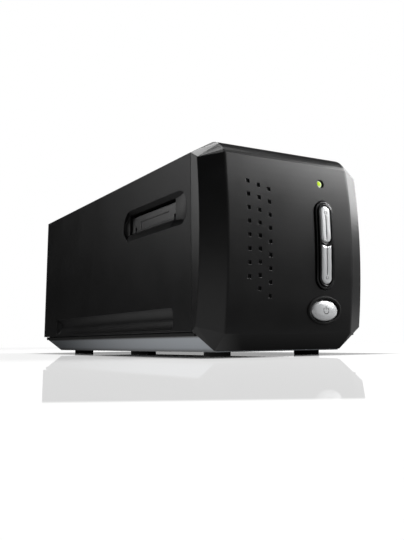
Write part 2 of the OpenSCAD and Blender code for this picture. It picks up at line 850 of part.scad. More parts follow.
// Flap that hangs up against the slot from a barrel along its lower edge
module dust_flap() {
    y0 = film_y - flap_l / 2;
    y1 = film_y + flap_l / 2;
    difference() {
        union() {
            box(flap_x - flap_t / 2, flap_x + flap_t / 2, y0, y1, flap_pivot_z, flap_top);
            rod_y(2 * flap_r, y0, y1, flap_x, flap_pivot_z);
        }
        rod_y(pin_d + 2 * bearing, y0 - 1, y1 + 1, flap_x, flap_pivot_z);
        // notches around the springs, and the thinner field between them
        for (y = notch_y)
            box(flap_x - 5, flap_x + 5, y, y + notch_w, flap_pivot_z - 3, flap_pivot_z + notch_h);
        box(flap_x + flap_t / 2 - 0.4, flap_x + 5, y0 + field_in[0], y1 - field_in[1], flap_pivot_z + 1.2,
            flap_pivot_z + field_h);
    }
}

module right_dust_flap() {
    color("#29292a") dust_flap();
}

module left_dust_flap() {
    color("#29292a") mirror([1, 0, 0]) dust_flap();
}

module flap_pins() {
    color("#9a9da1") on_both_sides()
        rod_y(pin_d - 0.02, film_y - film_w / 2 - 2.8, film_y + film_w / 2 + 2.8, flap_x, flap_pivot_z);
}

// Small coil around each end of a pin, with a leg that lies in the trough
module flap_springs() {
    wire = 0.45;
    coil_r = pin_d / 2 + 0.4;
    color("#b4b7ba") on_both_sides() for (y = notch_y)
        translate([flap_x, y + notch_w / 2, flap_pivot_z]) {
            rotate([90, 0, 0]) rotate_extrude()
                for (i = [-1:1]) translate([coil_r, i * wire * 0.9]) circle(d = wire, $fn = 16);
            translate([-2.1, 0, -coil_r]) rotate([0, 90, 0]) cylinder(d = wire, h = 2.1, $fn = 16);
        }
}

gate_rail = 2.4;
gate_x = flap_x - flap_reach - 0.9;
gate_y = film_w / 2 + gate_rail;
window_x = 40;
window_y = 44;
detent = 0.9;
detent_reach = 12.5;
detent_foot = 7;
detent_tip = 2;
detent_bay = 1.4;
detent_w = 5;

// Track that the film holder slides along: a floor with a window, between two rails
module film_gate() {
    color("#1a1a1b") difference() {
        union() {
            box(-gate_x, gate_x, film_y - gate_y, film_y + gate_y, gate_z, gate_floor);
            for (side = [-1, 1]) translate([0, film_y + side * (film_w / 2 + gate_rail / 2), 0])
                box(-frame_x, frame_x, -gate_rail / 2, gate_rail / 2, gate_z, film_top);
        }
        box(-window_x / 2, window_x / 2, film_y - window_y / 2, film_y + window_y / 2,
            gate_z - 1, gate_floor + 1);
        // lead-in slope at each end of the floor
        on_both_sides() along_y(film_y - film_w / 2, film_y + film_w / 2)
            polygon([[gate_x - 5, gate_floor + eps], [gate_x + 1, gate_floor + eps],
                [gate_x + 1, gate_floor - 1.5]]);
        box(-detent_reach - 0.5, detent_reach + 0.5, film_y + film_w / 2 - eps,
            film_y + film_w / 2 + detent_bay, gate_floor + 2, gate_floor + 3 + detent_w);
    }
}

// Bent leaf in the rear rail that clicks into the notches of a film holder
module detent_spring() {
    leaf = 0.3;
    y = film_y + film_w / 2 + detent_bay - fit / 2;
    crest = detent_bay - fit / 2 + detent;
    front = [[-detent_reach, 0], [-detent_foot, 0], [-detent_tip, crest], [detent_tip, crest],
        [detent_foot, 0], [detent_reach, 0]];
    back = [for (i = [len(front) - 1:-1:0]) front[i] + [0, leaf]];
    color("#c4c7ca") translate([0, y, gate_floor + 2.5]) mirror([0, 1, 0]) linear_extrude(detent_w)
        polygon(concat(front, back));
}

lamp_x = 34;
lamp_h = 0.614 * (body_h - wall - film_top);
lamp_wall = 1.6;
lamp_rest = film_top + 0.706 * lamp_h;

// Box over the film that holds the lamps, open at the top and with a window over the film
module lamp_housing() {
    color("#d9dadb") difference() {
        box(-lamp_x, lamp_x, film_y - gate_y, film_y + gate_y, film_top, film_top + lamp_h);
        box(lamp_wall - lamp_x, lamp_x - lamp_wall, film_y - gate_y + lamp_wall, film_y + gate_y - lamp_wall,
            lamp_rest, film_top + lamp_h + 1);
        box(3 - lamp_x, lamp_x - 3, film_y - gate_y + 3, film_y + gate_y - 3, film_top + 3, lamp_rest + 1);
        box(-window_x / 2 - 3, window_x / 2 + 3, film_y - window_y / 2 - 3, film_y + window_y / 2 + 3,
            film_top + 1.2, film_top + 4);
        box(-window_x / 2, window_x / 2, film_y - window_y / 2, film_y + window_y / 2,
            film_top - 1, film_top + 4);
    }
}

module lamp_diffuser() {
    color("#f2f3f1") box(fit - window_x / 2 - 3, window_x / 2 + 3 - fit, film_y - window_y / 2 - 3 + fit,
        film_y + window_y / 2 + 3 - fit, film_top + 1.2, film_top + 3);
}

// Board with its two rows of lamps facing down
module lamp_board() {
    edge = lamp_wall + fit;
    color("#2f7d4d") {
        box(edge - lamp_x, lamp_x - edge, film_y - gate_y + edge, film_y + gate_y - edge, lamp_rest,
            lamp_rest + board_t);
        for (x = [-15:6:15], side = [-1, 1])
            translate([x - 1.75, film_y + side * 9 - 1.4, lamp_rest - 1.6]) cube([3.5, 2.8, 1.6 + eps]);
    }
}

// ---------- chassis ----------

tower_y = gate_y + 1;

// Inner frame: a deck on four legs, end plates that hold the rods, and two towers under the film way
module chassis() {
    plate_top = rod_z + rod_d / 2 + 5;
    color("#8f9296") difference() {
        union() {
            box(2 - frame_x, frame_x - 2, frame_front, frame_rear, deck_z, deck_top);
            for (y = [frame_front, frame_rear - frame_t])
                box(2 - frame_x, frame_x - 2, y, y + frame_t, deck_z, plate_top);
            for (side = [-1, 1], y = [frame_front, frame_rear - frame_t])
                rod_y(rod_d + 6, y - (y < 0 ? 0 : 3), y + frame_t + (y < 0 ? 3 : 0), side * rod_x, rod_z);
            on_both_sides() {
                box(frame_x - frame_t, frame_x, film_y - tower_y, film_y + tower_y, deck_z, gate_z);
                box(frame_x - 5, frame_x, film_y - tower_y, film_y + tower_y, deck_z, deck_top);
            }
            leg_spots() translate([0, 0, base_floor + 2])
                cylinder(d = leg_d, h = deck_z - base_floor - 2 + eps);
        }
        leg_spots() cylinder(d = leg_screw_d + 2 * bearing, h = screw_seat + leg_screw_l + 3);
        for (side = [-1, 1]) rod_y(rod_d + 2 * 0.02, frame_front + frame_t / 2, frame_rear - frame_t / 2,
            side * rod_x, rod_z);
        // windows that lighten the towers, the end plates and the deck
        on_both_sides() for (side = [-1, 1])
            translate([0, film_y + side * tower_y / 2, (deck_top + gate_z) / 2 + 3])
                along_x(frame_x - 3, frame_x + 1)
                    square([tower_y - 12, gate_z - deck_top - 24], center = true);
        for (side = [-1, 1]) along_y(frame_front - 1, frame_rear + 1)
            translate([side * 14, rod_z + 2]) square([20, 14], center = true);
        for (y = [film_y + 52, film_y + 104]) translate([0, y, deck_z - 1]) linear_extrude(deck_t + 2)
            for (side = [-1, 1]) translate([side * 18, 0]) square([16, 40], center = true);
        post_z(12, motor_x, drive_y, deck_z - 1, deck_top + 1);
        post_z(post_d + 0.02, 0, drive_y, deck_z - 1, deck_top + 1);
        post_z(3, 0, idler_y, deck_z - 1, deck_top + 1);
    }
}

module guide_rods() {
    color("#c9ccd0") for (side = [-1, 1])
        rod_y(rod_d, frame_front + frame_t / 2 + 0.1, frame_rear - frame_t / 2 - 0.1, side * rod_x, rod_z);
}

module chassis_screws() {
    color("#8b8e92") leg_spots() translate([0, 0, screw_seat])
        pan_screw(leg_screw_d, leg_screw_l);
}

// ---------- scan carriage ----------

shell = 2;
cover_t = 1.5;
mirror_l = 25;
mirror_t = 2;
mirror_x = 26;
bush_out = rod_d + 2 * bearing + 2 * bush_wall;

// Optical box: floor and walls, ribs for the mirror, a saddle for the lens, and ears for the bushes
module carriage_body() {
    floor_z = carriage_z + shell;
    k = mirror_t / sqrt(2) + 0.02;
    m = mirror_l / 2 / sqrt(2);
    color("#232426") difference() {
        union() {
            difference() {
                box(-carriage_x, carriage_x, carriage_front, carriage_rear,
                    carriage_z, carriage_top - cover_t);
                box(shell - carriage_x, carriage_x - shell, carriage_front + shell, carriage_rear - shell,
                    floor_z, carriage_top + 1);
            }
            on_both_sides() {
                for (y = ear_y) box(carriage_x - eps, rod_x + bush_out / 2 + 1.4, y, y + bush_l,
                    rod_z - bush_out / 2 - 1.4, rod_z + bush_out / 2 + 1.4);
                along_x(mirror_x - 3, mirror_x) polygon([[slit_y - m - k, optic_z + m - k],
                    [slit_y + m - k, optic_z - m - k], [slit_y + m - k, floor_z - eps],
                    [slit_y - m - k, floor_z - eps]]);
            }
            box(-lens_d / 2 - lens_saddle, lens_d / 2 + lens_saddle, lens_y + lens_saddle,
                lens_y + lens_l - lens_saddle, floor_z - eps, optic_z);
        }
        on_both_sides() for (y = ear_y) rod_y(bush_out + 2 * bearing, y - 1, y + bush_l + 1, rod_x, rod_z);
        rod_y(lens_d + 2 * bearing, lens_y - 1, lens_y + lens_l + 1, 0, optic_z);
    }
}

module carriage_cover() {
    color("#1d1d1f") difference() {
        union() {
            box(-carriage_x, carriage_x, carriage_front, carriage_rear, carriage_top - cover_t, carriage_top);
            box(shell + fit - carriage_x, carriage_x - shell - fit, carriage_front + shell + fit,
                carriage_rear - shell - fit, carriage_top - cover_t - 1.5, carriage_top - cover_t + eps);
        }
        box(-window_x / 2, window_x / 2, slit_y - 2.5, slit_y + 2.5, carriage_top - 5, carriage_top + 1);
        box(6 - carriage_x, carriage_x - 6, slit_y + 8, carriage_rear - 8,
            carriage_top - 4, carriage_top - cover_t);
    }
}

module carriage_bushes() {
    color("#b08d57") on_both_sides() for (y = ear_y) difference() {
        rod_y(bush_out, y, y + bush_l, rod_x, rod_z);
        rod_y(rod_d + 2 * bearing, y - 1, y + bush_l + 1, rod_x, rod_z);
    }
}

module scan_mirror() {
    color("#dfe6ea") translate([0, slit_y, optic_z]) rotate([-45, 0, 0])
        box(-mirror_x, mirror_x, -mirror_l / 2, mirror_l / 2, -mirror_t, 0);
}

lens_wall = 2.5;
lens_bore = lens_d - 2 * lens_wall;
glass_edge = 2;
glass_bulge = 1.2;

module lens_barrel() {
    color("#303235") difference() {
        union() {
            rod_y(lens_d, lens_y, lens_y + lens_l, 0, optic_z);
            rod_y(lens_d + 2 * lens_rim, lens_y + 0.5, lens_y + 0.5 + 2 * lens_rim, 0, optic_z);
        }
        rod_y(lens_bore, lens_y - 1, lens_y + lens_l + 1, 0, optic_z);
    }
}

// Two double-convex glasses, one near each end of the barrel
module lens_glass() {
    r = (pow(lens_bore / 2, 2) + glass_bulge * glass_bulge) / (2 * glass_bulge);
    color("#a9c4cf") for (y = [lens_y + lens_saddle, lens_y + lens_l - lens_saddle - glass_edge])
        translate([0, y + glass_edge, optic_z]) rotate([90, 0, 0]) rotate_extrude() intersection() {
            translate([0, -glass_bulge]) square([lens_bore / 2 - eps, glass_edge + 2 * glass_bulge]);
            translate([0, r - glass_bulge]) circle(r = r, $fn = 180);
            translate([0, glass_edge + glass_bulge - r]) circle(r = r, $fn = 180);
        }
}

module sensor_board() {
    color("#2f7d4d") box(shell + 1 - carriage_x, carriage_x - shell - 1,
        carriage_rear - shell - board_t - 0.1, carriage_rear - shell - 0.1,
        carriage_z + shell, carriage_top - cover_t - 2);
}

sensor_w = 48;
sensor_h = 10;
sensor_t = 4;
sensor_line = 3;

module image_sensor() {
    back = carriage_rear - shell - board_t - 0.1;
    color("#3a3a44") difference() {
        box(-sensor_w / 2, sensor_w / 2, back - sensor_t, back,
            optic_z - sensor_h / 2, optic_z + sensor_h / 2);
        box(3 - sensor_w / 2, sensor_w / 2 - 3, back - sensor_t - 1, back - sensor_t + 1,
            optic_z - sensor_line / 2, optic_z + sensor_line / 2);
    }
}

module sensor_flag() {
    color("#1a1a1a") {
        box(flag_x - 0.5, flag_x + 0.5, flag_y, flag_y + 10, deck_top + 4, carriage_z);
        box(flag_x - 4, flag_x + 4, flag_y, flag_y + 10, carriage_z - 1.2, carriage_z);
    }
}
flag_x = -22;
flag_y = carriage_rear - 24;

module home_sensor() {
    color("#111113") difference() {
        box(flag_x - 4.5, flag_x + 4.5, flag_y - 1, flag_y + 5, deck_top, deck_top + 9);
        box(flag_x - 1.5, flag_x + 1.5, flag_y - 2, flag_y + 6, deck_top + 3, deck_top + 10);
    }
}

module belt_clamp() {
    color("#2a2b2d") difference() {
        box(belt_x - 4, belt_x + 4, slit_y + 50, slit_y + 62, belt_z - 1.2, carriage_z);
        box(belt_x - belt_t / 2 - running, belt_x + belt_t / 2 + running, slit_y + 49, slit_y + 63,
            belt_z - running, belt_z + belt_w + running);
    }
}

// ---------- drive ----------

// Involute in degrees at radius r of a gear whose base radius is rb
function involute(r, rb) = let (a = acos(min(1, rb / r))) tan(a) * 180 / PI - a;

// Spur gear outline with involute flanks and one tooth centred on the first axis
module gear_outline(teeth) {
    r = gear_m * teeth / 2;
    rb = r * cos(20);
    tip = r + gear_m;
    root = r - 1.25 * gear_m;
    start = max(rb, root);
    half = 90 / teeth - tooth_play / r * 180 / PI;
    flank = [for (i = [0:5]) let (q = mix(start, tip, i / 5)) [q, half + involute(r, rb) - involute(q, rb)]];
    polygon([for (tooth = [0:teeth - 1], p = concat([[root, -180 / teeth], [root, -flank[0][1] - 30 / teeth]],
        [for (f = flank) [f[0], -f[1]]], [for (i = [5:-1:0]) flank[i]],
        [[root, flank[0][1] + 30 / teeth]]))
        let (a = p[1] + 360 * tooth / teeth) p[0] * [cos(a), sin(a)]]);
}

module stepper_motor() {
    color("#9fa3a8") difference() {
        union() {
            post_z(motor_d, motor_x, drive_y, deck_z - motor_l, deck_z);
            post_z(11.6, motor_x, drive_y, deck_z - eps, deck_z + 1.2);
            translate([motor_x, drive_y, deck_z - 1]) linear_extrude(1) rotate(90) stadium(motor_d + 6, 9);
        }
        post_z(shaft_d + 2 * bearing, motor_x, drive_y, deck_z - motor_l + 2, deck_z + 3);
    }
}

module motor_shaft() {
    color("#c9ccd0") post_z(shaft_d, motor_x, drive_y, deck_z - motor_l + 2.2, gear_z + gear_t + 0.6);
}

module motor_pinion() {
    color("#c8a24a") translate([motor_x, drive_y, gear_z]) difference() {
        linear_extrude(gear_t) gear_outline(pinion_teeth);
        translate([0, 0, -1]) cylinder(d = shaft_d + 0.02, h = gear_t + 2);
    }
}

// Pulley with a flange above and below the belt
module pulley(z0) {
    cylinder(d = pulley_d, h = belt_z + belt_w + 1.2 - z0);
    cylinder(d = pulley_d + 3, h = belt_z - 0.3 - z0);
    translate([0, 0, belt_z + belt_w + 0.3 - z0]) cylinder(d = pulley_d + 3, h = 0.9);
}

module reduction_gear() {
    gap_turn = 180 + 180 / gear_teeth;
    color("#e7e3d6") translate([0, drive_y, gear_z]) difference() {
        union() {
            difference() {
                linear_extrude(gear_t) rotate(gap_turn) gear_outline(gear_teeth);
                for (a = [0:60:300]) rotate(a + 30) translate([gear_r * 0.64, 0, -1])
                    cylinder(d = 4.4, h = gear_t + 2);
            }
            translate([0, 0, gear_t - eps]) pulley(gear_z + gear_t - eps);
        }
        translate([0, 0, -1]) cylinder(d = post_d + 2 * bearing, h = 20);
    }
}

module gear_post() {
    color("#c9ccd0") {
        post_z(post_d, 0, drive_y, deck_z, belt_z + belt_w + 1.4);
        post_z(post_d + 4, 0, drive_y, deck_top, gear_z - 0.1);
    }
}

module idler_pulley() {
    color("#e7e3d6") translate([0, idler_y, gear_z + gear_t]) difference() {
        pulley(gear_z + gear_t);
        translate([0, 0, -1]) cylinder(d = post_d + 2 * bearing, h = 20);
    }
}

module idler_post() {
    color("#c9ccd0") {
        post_z(post_d, 0, idler_y, deck_top, belt_z + belt_w + 1.4);
        post_z(post_d + 5, 0, idler_y, deck_top, gear_z + gear_t - 0.1);
        post_z(2.9, 0, idler_y, deck_z, deck_top + eps);
    }
}

module drive_belt() {
    slack = 0.12;
    span = idler_y - drive_y;
    inner = pulley_d + 2 * slack;
    color("#17181a") translate([0, (drive_y + idler_y) / 2, belt_z]) linear_extrude(belt_w) rotate(90)
        difference() {
            stadium(span + inner + 2 * belt_t, inner + 2 * belt_t);
            stadium(span + inner, inner);
        }
}

// ---------- boards ----------

module main_board() {
    color("#1d5c38") difference() {
        box(-board_x, board_x, board_y[0], board_y[1], board_z, board_top);
        board_post_spots() cylinder(d = 2.6, h = board_top + 1);
    }
}

module board_screws() {
    color("#8b8e92") board_post_spots() translate([0, 0, board_top]) rotate([180, 0, 0])
        pan_screw(2.2 - 2 * bearing, 5);
}

chip_w = 20;
chip_h = 2;
chip_y = board_y[0] + 62;
header_w = 6;
header_l = 14;
header_h = 5;
header_pitch = 24;
capacitor_d = 6.3;
capacitor_h = 7;

// Chips, plug headers and capacitors
module board_parts() {
    color("#26272b") {
        box(-chip_w / 2, chip_w / 2, chip_y, chip_y + chip_w, board_top, board_top + chip_h);
        for (side = [-1, 1]) translate([side * (chip_w - 1), chip_y + chip_w / 2, board_top + 0.35 * chip_h])
            cube([chip_w / 2, 0.7 * chip_w, 0.7 * chip_h], center = true);
        translate([0, chip_y + 2.3 * chip_w, board_top + chip_h / 2])
            cube([0.9 * chip_w, chip_w / 2, chip_h], center = true);
    }
    color("#e8e4d8") for (i = [0, 1])
        translate([5 - board_x, chip_y - 44 + header_pitch * i, board_top])
            cube([header_w, header_l, header_h]);
    color("#34405c") for (i = [0, 1])
        translate([board_x - 10, board_rear - 48 + 1.6 * capacitor_d * i, board_top])
            cylinder(d = capacitor_d, h = capacitor_h);
}

module usb_socket() {
    y1 = rear_y - 1;
    inner_z = board_top + 1.6;
    color("#c6c8ca") difference() {
        box(usb_x - usb_w / 2, usb_x + usb_w / 2, y1 - 16, y1, board_top, board_top + usb_h);
        translate([usb_x, 0, 0]) along_y(y1 - 9, y1 + 1) polygon([[-4.2, inner_z], [4.2, inner_z],
            [4.2, inner_z + 5.6], [2.6, inner_z + 7.8], [-2.6, inner_z + 7.8], [-4.2, inner_z + 5.6]]);
    }
    color("#e9e9e6") box(usb_x - 2.8, usb_x + 2.8, y1 - 9 - eps, y1 - 0.8, inner_z + 2.3, inner_z + 5.5);
}

module power_jack() {
    y1 = rear_y - 1;
    z = board_top + jack_h / 2;
    color("#151517") difference() {
        box(jack_x - jack_w / 2, jack_x + jack_w / 2, y1 - 14, y1, board_top, board_top + jack_h);
        rod_y(6.4, y1 - 9.5, y1 + 1, jack_x, z);
    }
    color("#b9bcc0") rod_y(2, y1 - 9.5 - eps, y1 - 1, jack_x, z);
}

// ---------- what is drawn ----------

upper_housing();
base_tray();
front_bezel();
rear_panel();
left_dust_flap();
right_dust_flap();
flap_pins();
flap_springs();
key_collar();
upper_key();
lower_key();
power_button();
status_light();
switch_board();
key_switches();
rubber_feet();
chassis();
guide_rods();
carriage_body();
carriage_cover();
carriage_bushes();
scan_mirror();
lens_barrel();
lens_glass();
sensor_board();
image_sensor();
film_gate();
detent_spring();
lamp_housing();
lamp_diffuser();
lamp_board();
stepper_motor();
motor_shaft();
motor_pinion();
reduction_gear();
gear_post();
idler_pulley();
idler_post();
drive_belt();
belt_clamp();
main_board();
board_parts();
usb_socket();
power_jack();
home_sensor();
sensor_flag();
chassis_screws();
rear_screws();
board_screws();
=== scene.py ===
# %% [markdown]
# # Dressing a desktop film scanner
#
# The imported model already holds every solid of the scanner, each with its real size and its
# joint. This lesson loads it as a fixed frame, finishes the visible pieces and sets up a plain
# studio. Every object is in metres: X runs across the width, Y from the front to the rear, Z up.

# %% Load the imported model
import json
import math

import bmesh
import bpy
import numpy as np
from mathutils import Matrix, Vector


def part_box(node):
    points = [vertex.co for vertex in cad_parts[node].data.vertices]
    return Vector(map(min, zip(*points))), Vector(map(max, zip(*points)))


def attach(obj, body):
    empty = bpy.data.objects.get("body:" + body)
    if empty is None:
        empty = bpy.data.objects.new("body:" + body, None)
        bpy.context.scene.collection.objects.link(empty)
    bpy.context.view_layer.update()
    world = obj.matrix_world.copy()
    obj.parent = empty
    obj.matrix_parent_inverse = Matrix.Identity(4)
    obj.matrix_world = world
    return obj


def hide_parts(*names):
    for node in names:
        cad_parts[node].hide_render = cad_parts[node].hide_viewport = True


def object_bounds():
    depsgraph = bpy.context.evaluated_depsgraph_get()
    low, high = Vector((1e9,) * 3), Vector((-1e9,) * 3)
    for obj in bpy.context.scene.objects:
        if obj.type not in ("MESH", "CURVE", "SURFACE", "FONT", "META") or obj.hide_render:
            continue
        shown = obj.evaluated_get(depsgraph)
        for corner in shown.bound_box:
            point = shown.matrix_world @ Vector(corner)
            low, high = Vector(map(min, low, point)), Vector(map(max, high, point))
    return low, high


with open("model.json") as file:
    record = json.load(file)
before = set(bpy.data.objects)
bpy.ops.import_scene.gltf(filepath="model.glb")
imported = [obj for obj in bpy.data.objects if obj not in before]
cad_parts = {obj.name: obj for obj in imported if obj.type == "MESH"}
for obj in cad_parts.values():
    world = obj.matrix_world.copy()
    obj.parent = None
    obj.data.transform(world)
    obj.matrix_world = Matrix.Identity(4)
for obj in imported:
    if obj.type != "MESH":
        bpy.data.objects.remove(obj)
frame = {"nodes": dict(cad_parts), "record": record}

cad_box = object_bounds()
nodes = frame["nodes"]

# %% [markdown]
# ## The camera
#
# A product shot from desk height: the lens sits just above the floor, to the left of the front,
# and looks slightly up. Euler angles on the object would do, but three turns (yaw, pitch and
# roll) that build the view axes one by one are easier to check. A small vertical shift puts the
# horizon where a view camera would, without tilting the uprights.

# %% Camera
IMAGE_H = 540
EYE = np.array([-0.23165, -0.42601, 0.00825])
YAW, PITCH, ROLL = 0.53319, 0.20743, -0.01258
LENS_PX = 658.0
HORIZON_SHIFT = 67
SENSOR_WIDTH = 36.0

look = np.array([math.sin(YAW) * math.cos(PITCH), math.cos(YAW) * math.cos(PITCH), math.sin(PITCH)])
level = np.array([math.cos(YAW), -math.sin(YAW), 0.0])
above = np.cross(level, look)
right = level * math.cos(ROLL) + above * math.sin(ROLL)
up = above * math.cos(ROLL) - level * math.sin(ROLL)
camera_data = bpy.data.cameras.new("camera")
camera = bpy.data.objects.new("camera", camera_data)
bpy.context.scene.collection.objects.link(camera)
turn = Matrix([[right[i], up[i], -look[i]] for i in range(3)]).to_4x4()
camera.matrix_world = Matrix.Translation(EYE) @ turn
camera_data.sensor_width = SENSOR_WIDTH
camera_data.lens = LENS_PX / IMAGE_H * SENSOR_WIDTH
camera_data.shift_y = -HORIZON_SHIFT / IMAGE_H
camera_data.clip_start, camera_data.clip_end = 0.01, 60.0
bpy.context.scene.camera = camera
bpy.context.scene.view_settings.view_transform = "Standard"
print("lens", round(camera_data.lens, 2), "mm")

# %% [markdown]
# ## Small tools for shader trees
#
# Every finish below is a short node tree. It could be drawn by hand in the Shader Editor; in code
# it can be read, repeated and changed in one place. `add_node` puts one node in a tree and fills
# its sockets: a number or a colour is set on the socket itself, and a socket of another node is
# linked. The helpers after it cover the nodes that come back all the time.

# %% Node helper
def add_node(tree, kind, settings=None, **sockets):
    """One node in a tree; a key n2 means its third socket, any other key the socket of that name."""
    node = tree.nodes.new(kind)
    for key, value in (settings or {}).items():
        setattr(node, key, value)
    for key, value in sockets.items():
        name = key.replace("_", " ")
        socket = node.inputs[int(name[1:])] if name[0] == "n" and name[1:].isdigit() else node.inputs[name]
        if isinstance(value, bpy.types.NodeSocket):
            tree.links.new(value, socket)
        elif isinstance(value, tuple) and len(value) == 3 and socket.type == "RGBA":
            socket.default_value = (*value, 1.0)
        else:
            socket.default_value = value
    return node


print("add_node ready")

# %% Shorthands for the commonest nodes
def numbered(values):
    """The keys n0, n1 and so on for a row of values."""
    return {f"n{index}": value for index, value in enumerate(values)}


def calculate(tree, operation, *values, clamp=False):
    """The result of one Math node on numbers or sockets."""
    settings = {"operation": operation, "use_clamp": clamp}
    return add_node(tree, "ShaderNodeMath", settings, **numbered(values)).outputs[0]


def combine(tree, operation, *vectors, **sockets):
    """The result of one Vector Math node: a number for a length or a dot product, else a vector."""
    node = add_node(tree, "ShaderNodeVectorMath", {"operation": operation}, **numbered(vectors), **sockets)
    return node.outputs["Value" if operation in ("LENGTH", "DOT_PRODUCT") else "Vector"]


def remap(tree, value, limits, low, high, smooth=False):
    """low at limits[0], high at limits[1], a straight or smooth run between them, and flat outside."""
    settings = {"interpolation_type": "SMOOTHSTEP"} if smooth else None
    node = add_node(tree, "ShaderNodeMapRange", settings, Value=value, n1=limits[0], n2=limits[1],
                    n3=low, n4=high)
    return node.outputs[0]


def object_coords(tree):
    """The place of each point in the piece's own space, in metres."""
    return add_node(tree, "ShaderNodeTexCoord").outputs["Object"]


def split(tree, vector):
    """The X, Y and Z of a vector as three sockets."""
    return add_node(tree, "ShaderNodeSeparateXYZ", Vector=vector).outputs


NOISE_RANGE = (0.3, 0.7)    # nearly all values of a noise lie between these two


def noise(tree, coords, scale, **sockets):
    """A noise between 0 and 1 that repeats nowhere; scale is the number of its waves in a metre."""
    return add_node(tree, "ShaderNodeTexNoise", Vector=coords, Scale=scale, **sockets).outputs["Fac"]


print("shorthands ready")

# %% Material and group helpers
def new_material(name, **values):
    """A material with one Principled shader whose sockets hold the given plain values."""
    material = bpy.data.materials.new(name)
    material.use_nodes = True
    tree = material.node_tree
    tree.nodes.clear()
    output = tree.nodes.new("ShaderNodeOutputMaterial")
    shader = add_node(tree, "ShaderNodeBsdfPrincipled", **values)
    tree.links.new(shader.outputs[0], output.inputs[0])
    return material, tree, shader


def feed(tree, node, **results):
    """Links each result to the input of a node that has its name."""
    for key, socket in results.items():
        tree.links.new(socket, node.inputs[key.replace("_", " ")])


def new_group(name, inputs, outputs):
    """An empty shader group with named float inputs and named outputs."""
    group = bpy.data.node_groups.new(name, "ShaderNodeTree")
    for label, value in inputs.items():
        socket = group.interface.new_socket(label, in_out="INPUT", socket_type="NodeSocketFloat")
        socket.default_value = value
    for label, kind in outputs.items():
        group.interface.new_socket(label, in_out="OUTPUT", socket_type="NodeSocket" + kind)
    return group, group.nodes.new("NodeGroupInput").outputs, group.nodes.new("NodeGroupOutput")


def use_group(tree, group, **values):
    """The outputs of a group node in a material, with its own values."""
    node = tree.nodes.new("ShaderNodeGroup")
    node.node_tree = group
    for key, value in values.items():
        node.inputs[key.replace("_", " ")].default_value = value
    return node.outputs


print("material and group helpers ready")

# %% [markdown]
# ## Effects that several finishes share
#
# Four effects come back on almost every piece, so each is a group that is built once:
#
# * **moulded grain**: the etched texture of a plastic mould, a fine noise that lifts the
#   surface, and a broader one that makes the sheen uneven, as hands and light wear do;
# * **edge wear and highlight**: a mask that is bright where two faces meet, found by comparing the
#   true normal with one that is averaged over a small radius; the lighter colour it gives an edge is
#   partly wear and partly a painted highlight. The averaged normal is handed on too, because no
#   moulded edge is perfectly sharp and its small radius catches the light;
# * **recess shade**: a mask that is bright in the open and dark in grooves and corners;
# * **brushed lines**: fine parallel scratches, which is what a cut or drawn metal shows.

# %% Group: moulded grain
FINE_SHARE, MIXED_RANGE = 0.35, (0.45, 0.95)
grain, g_in, g_out = new_group("moulded_grain", {"Grain size": 0.0003, "Patch size": 0.03,
                               "Low sheen": 0.4, "High sheen": 0.5},
                               {"Height": "Float", "Sheen": "Float", "Patches": "Float"})
coords = object_coords(grain)
fine_scale = calculate(grain, "DIVIDE", 1.0, g_in["Grain size"])
fine = noise(grain, coords, fine_scale, Detail=3.0, Roughness=0.6)
broad_scale = calculate(grain, "DIVIDE", 1.0, g_in["Patch size"])
patches = noise(grain, coords, broad_scale, Detail=4.0, Roughness=0.55)
mixed = calculate(grain, "MULTIPLY_ADD", fine, FINE_SHARE, patches)
sheen = remap(grain, mixed, MIXED_RANGE, g_in["Low sheen"], g_in["High sheen"])
feed(grain, g_out, Height=fine, Sheen=sheen, Patches=patches)
print("group", grain.name)

# %% Group: edge wear and painted highlight
FLAT_TO_BENT = (0.995, 0.80)
BREAKUP_RANGE, LEAST_WEAR_AND_HIGHLIGHT = (0.3, 0.6), 0.35
edges, e_in, e_out = new_group("edge_wear_and_highlight", {"Width": 0.0006, "Breakup size": 0.004},
                               {"Mask": "Float", "Normal": "Vector"})
rounded = add_node(edges, "ShaderNodeBevel", {"samples": 6}, Radius=e_in["Width"]).outputs[0]
flat = add_node(edges, "ShaderNodeNewGeometry").outputs["Normal"]
bend = remap(edges, combine(edges, "DOT_PRODUCT", rounded, flat), FLAT_TO_BENT, 0.0, 1.0)
breakup_scale = calculate(edges, "DIVIDE", 1.0, e_in["Breakup size"])
breakup = noise(edges, object_coords(edges), breakup_scale, Detail=3.0)
keep = remap(edges, breakup, BREAKUP_RANGE, LEAST_WEAR_AND_HIGHLIGHT, 1.0)
# where it lightens a colour, this mask is wear and also a painted highlight along the edges
feed(edges, e_out, Mask=calculate(edges, "MULTIPLY", bend, keep, clamp=True), Normal=rounded)
print("group", edges.name)

# %% Group: recess shade
OPEN_TO_DEEP = (0.85, 0.35)
recess, r_in, r_out = new_group("recess_shade", {"Reach": 0.001, "Open": 1.0, "Deep": 0.2},
                                {"Shade": "Float"})
open_sky = add_node(recess, "ShaderNodeAmbientOcclusion", {"samples": 6}, Distance=r_in["Reach"])
feed(recess, r_out, Shade=remap(recess, open_sky.outputs["AO"], OPEN_TO_DEEP, r_in["Open"], r_in["Deep"]))
print("group", recess.name)

# %% Group: brushed lines
brushed, b_in, b_out = new_group("brushed_lines", {"Along X": 1.0, "Along Y": 1.0, "Along Z": 1.0,
                                 "Low sheen": 0.2, "High sheen": 0.4},
                                 {"Height": "Float", "Sheen": "Float"})
stretch = add_node(brushed, "ShaderNodeCombineXYZ", X=b_in["Along X"], Y=b_in["Along Y"], Z=b_in["Along Z"])
stretched = combine(brushed, "MULTIPLY", object_coords(brushed), stretch.outputs[0])
lines = noise(brushed, stretched, 1.0, Detail=3.0, Roughness=0.7)
sheen = remap(brushed, lines, NOISE_RANGE, b_in["Low sheen"], b_in["High sheen"])
feed(brushed, b_out, Height=lines, Sheen=sheen)
print("group", brushed.name)

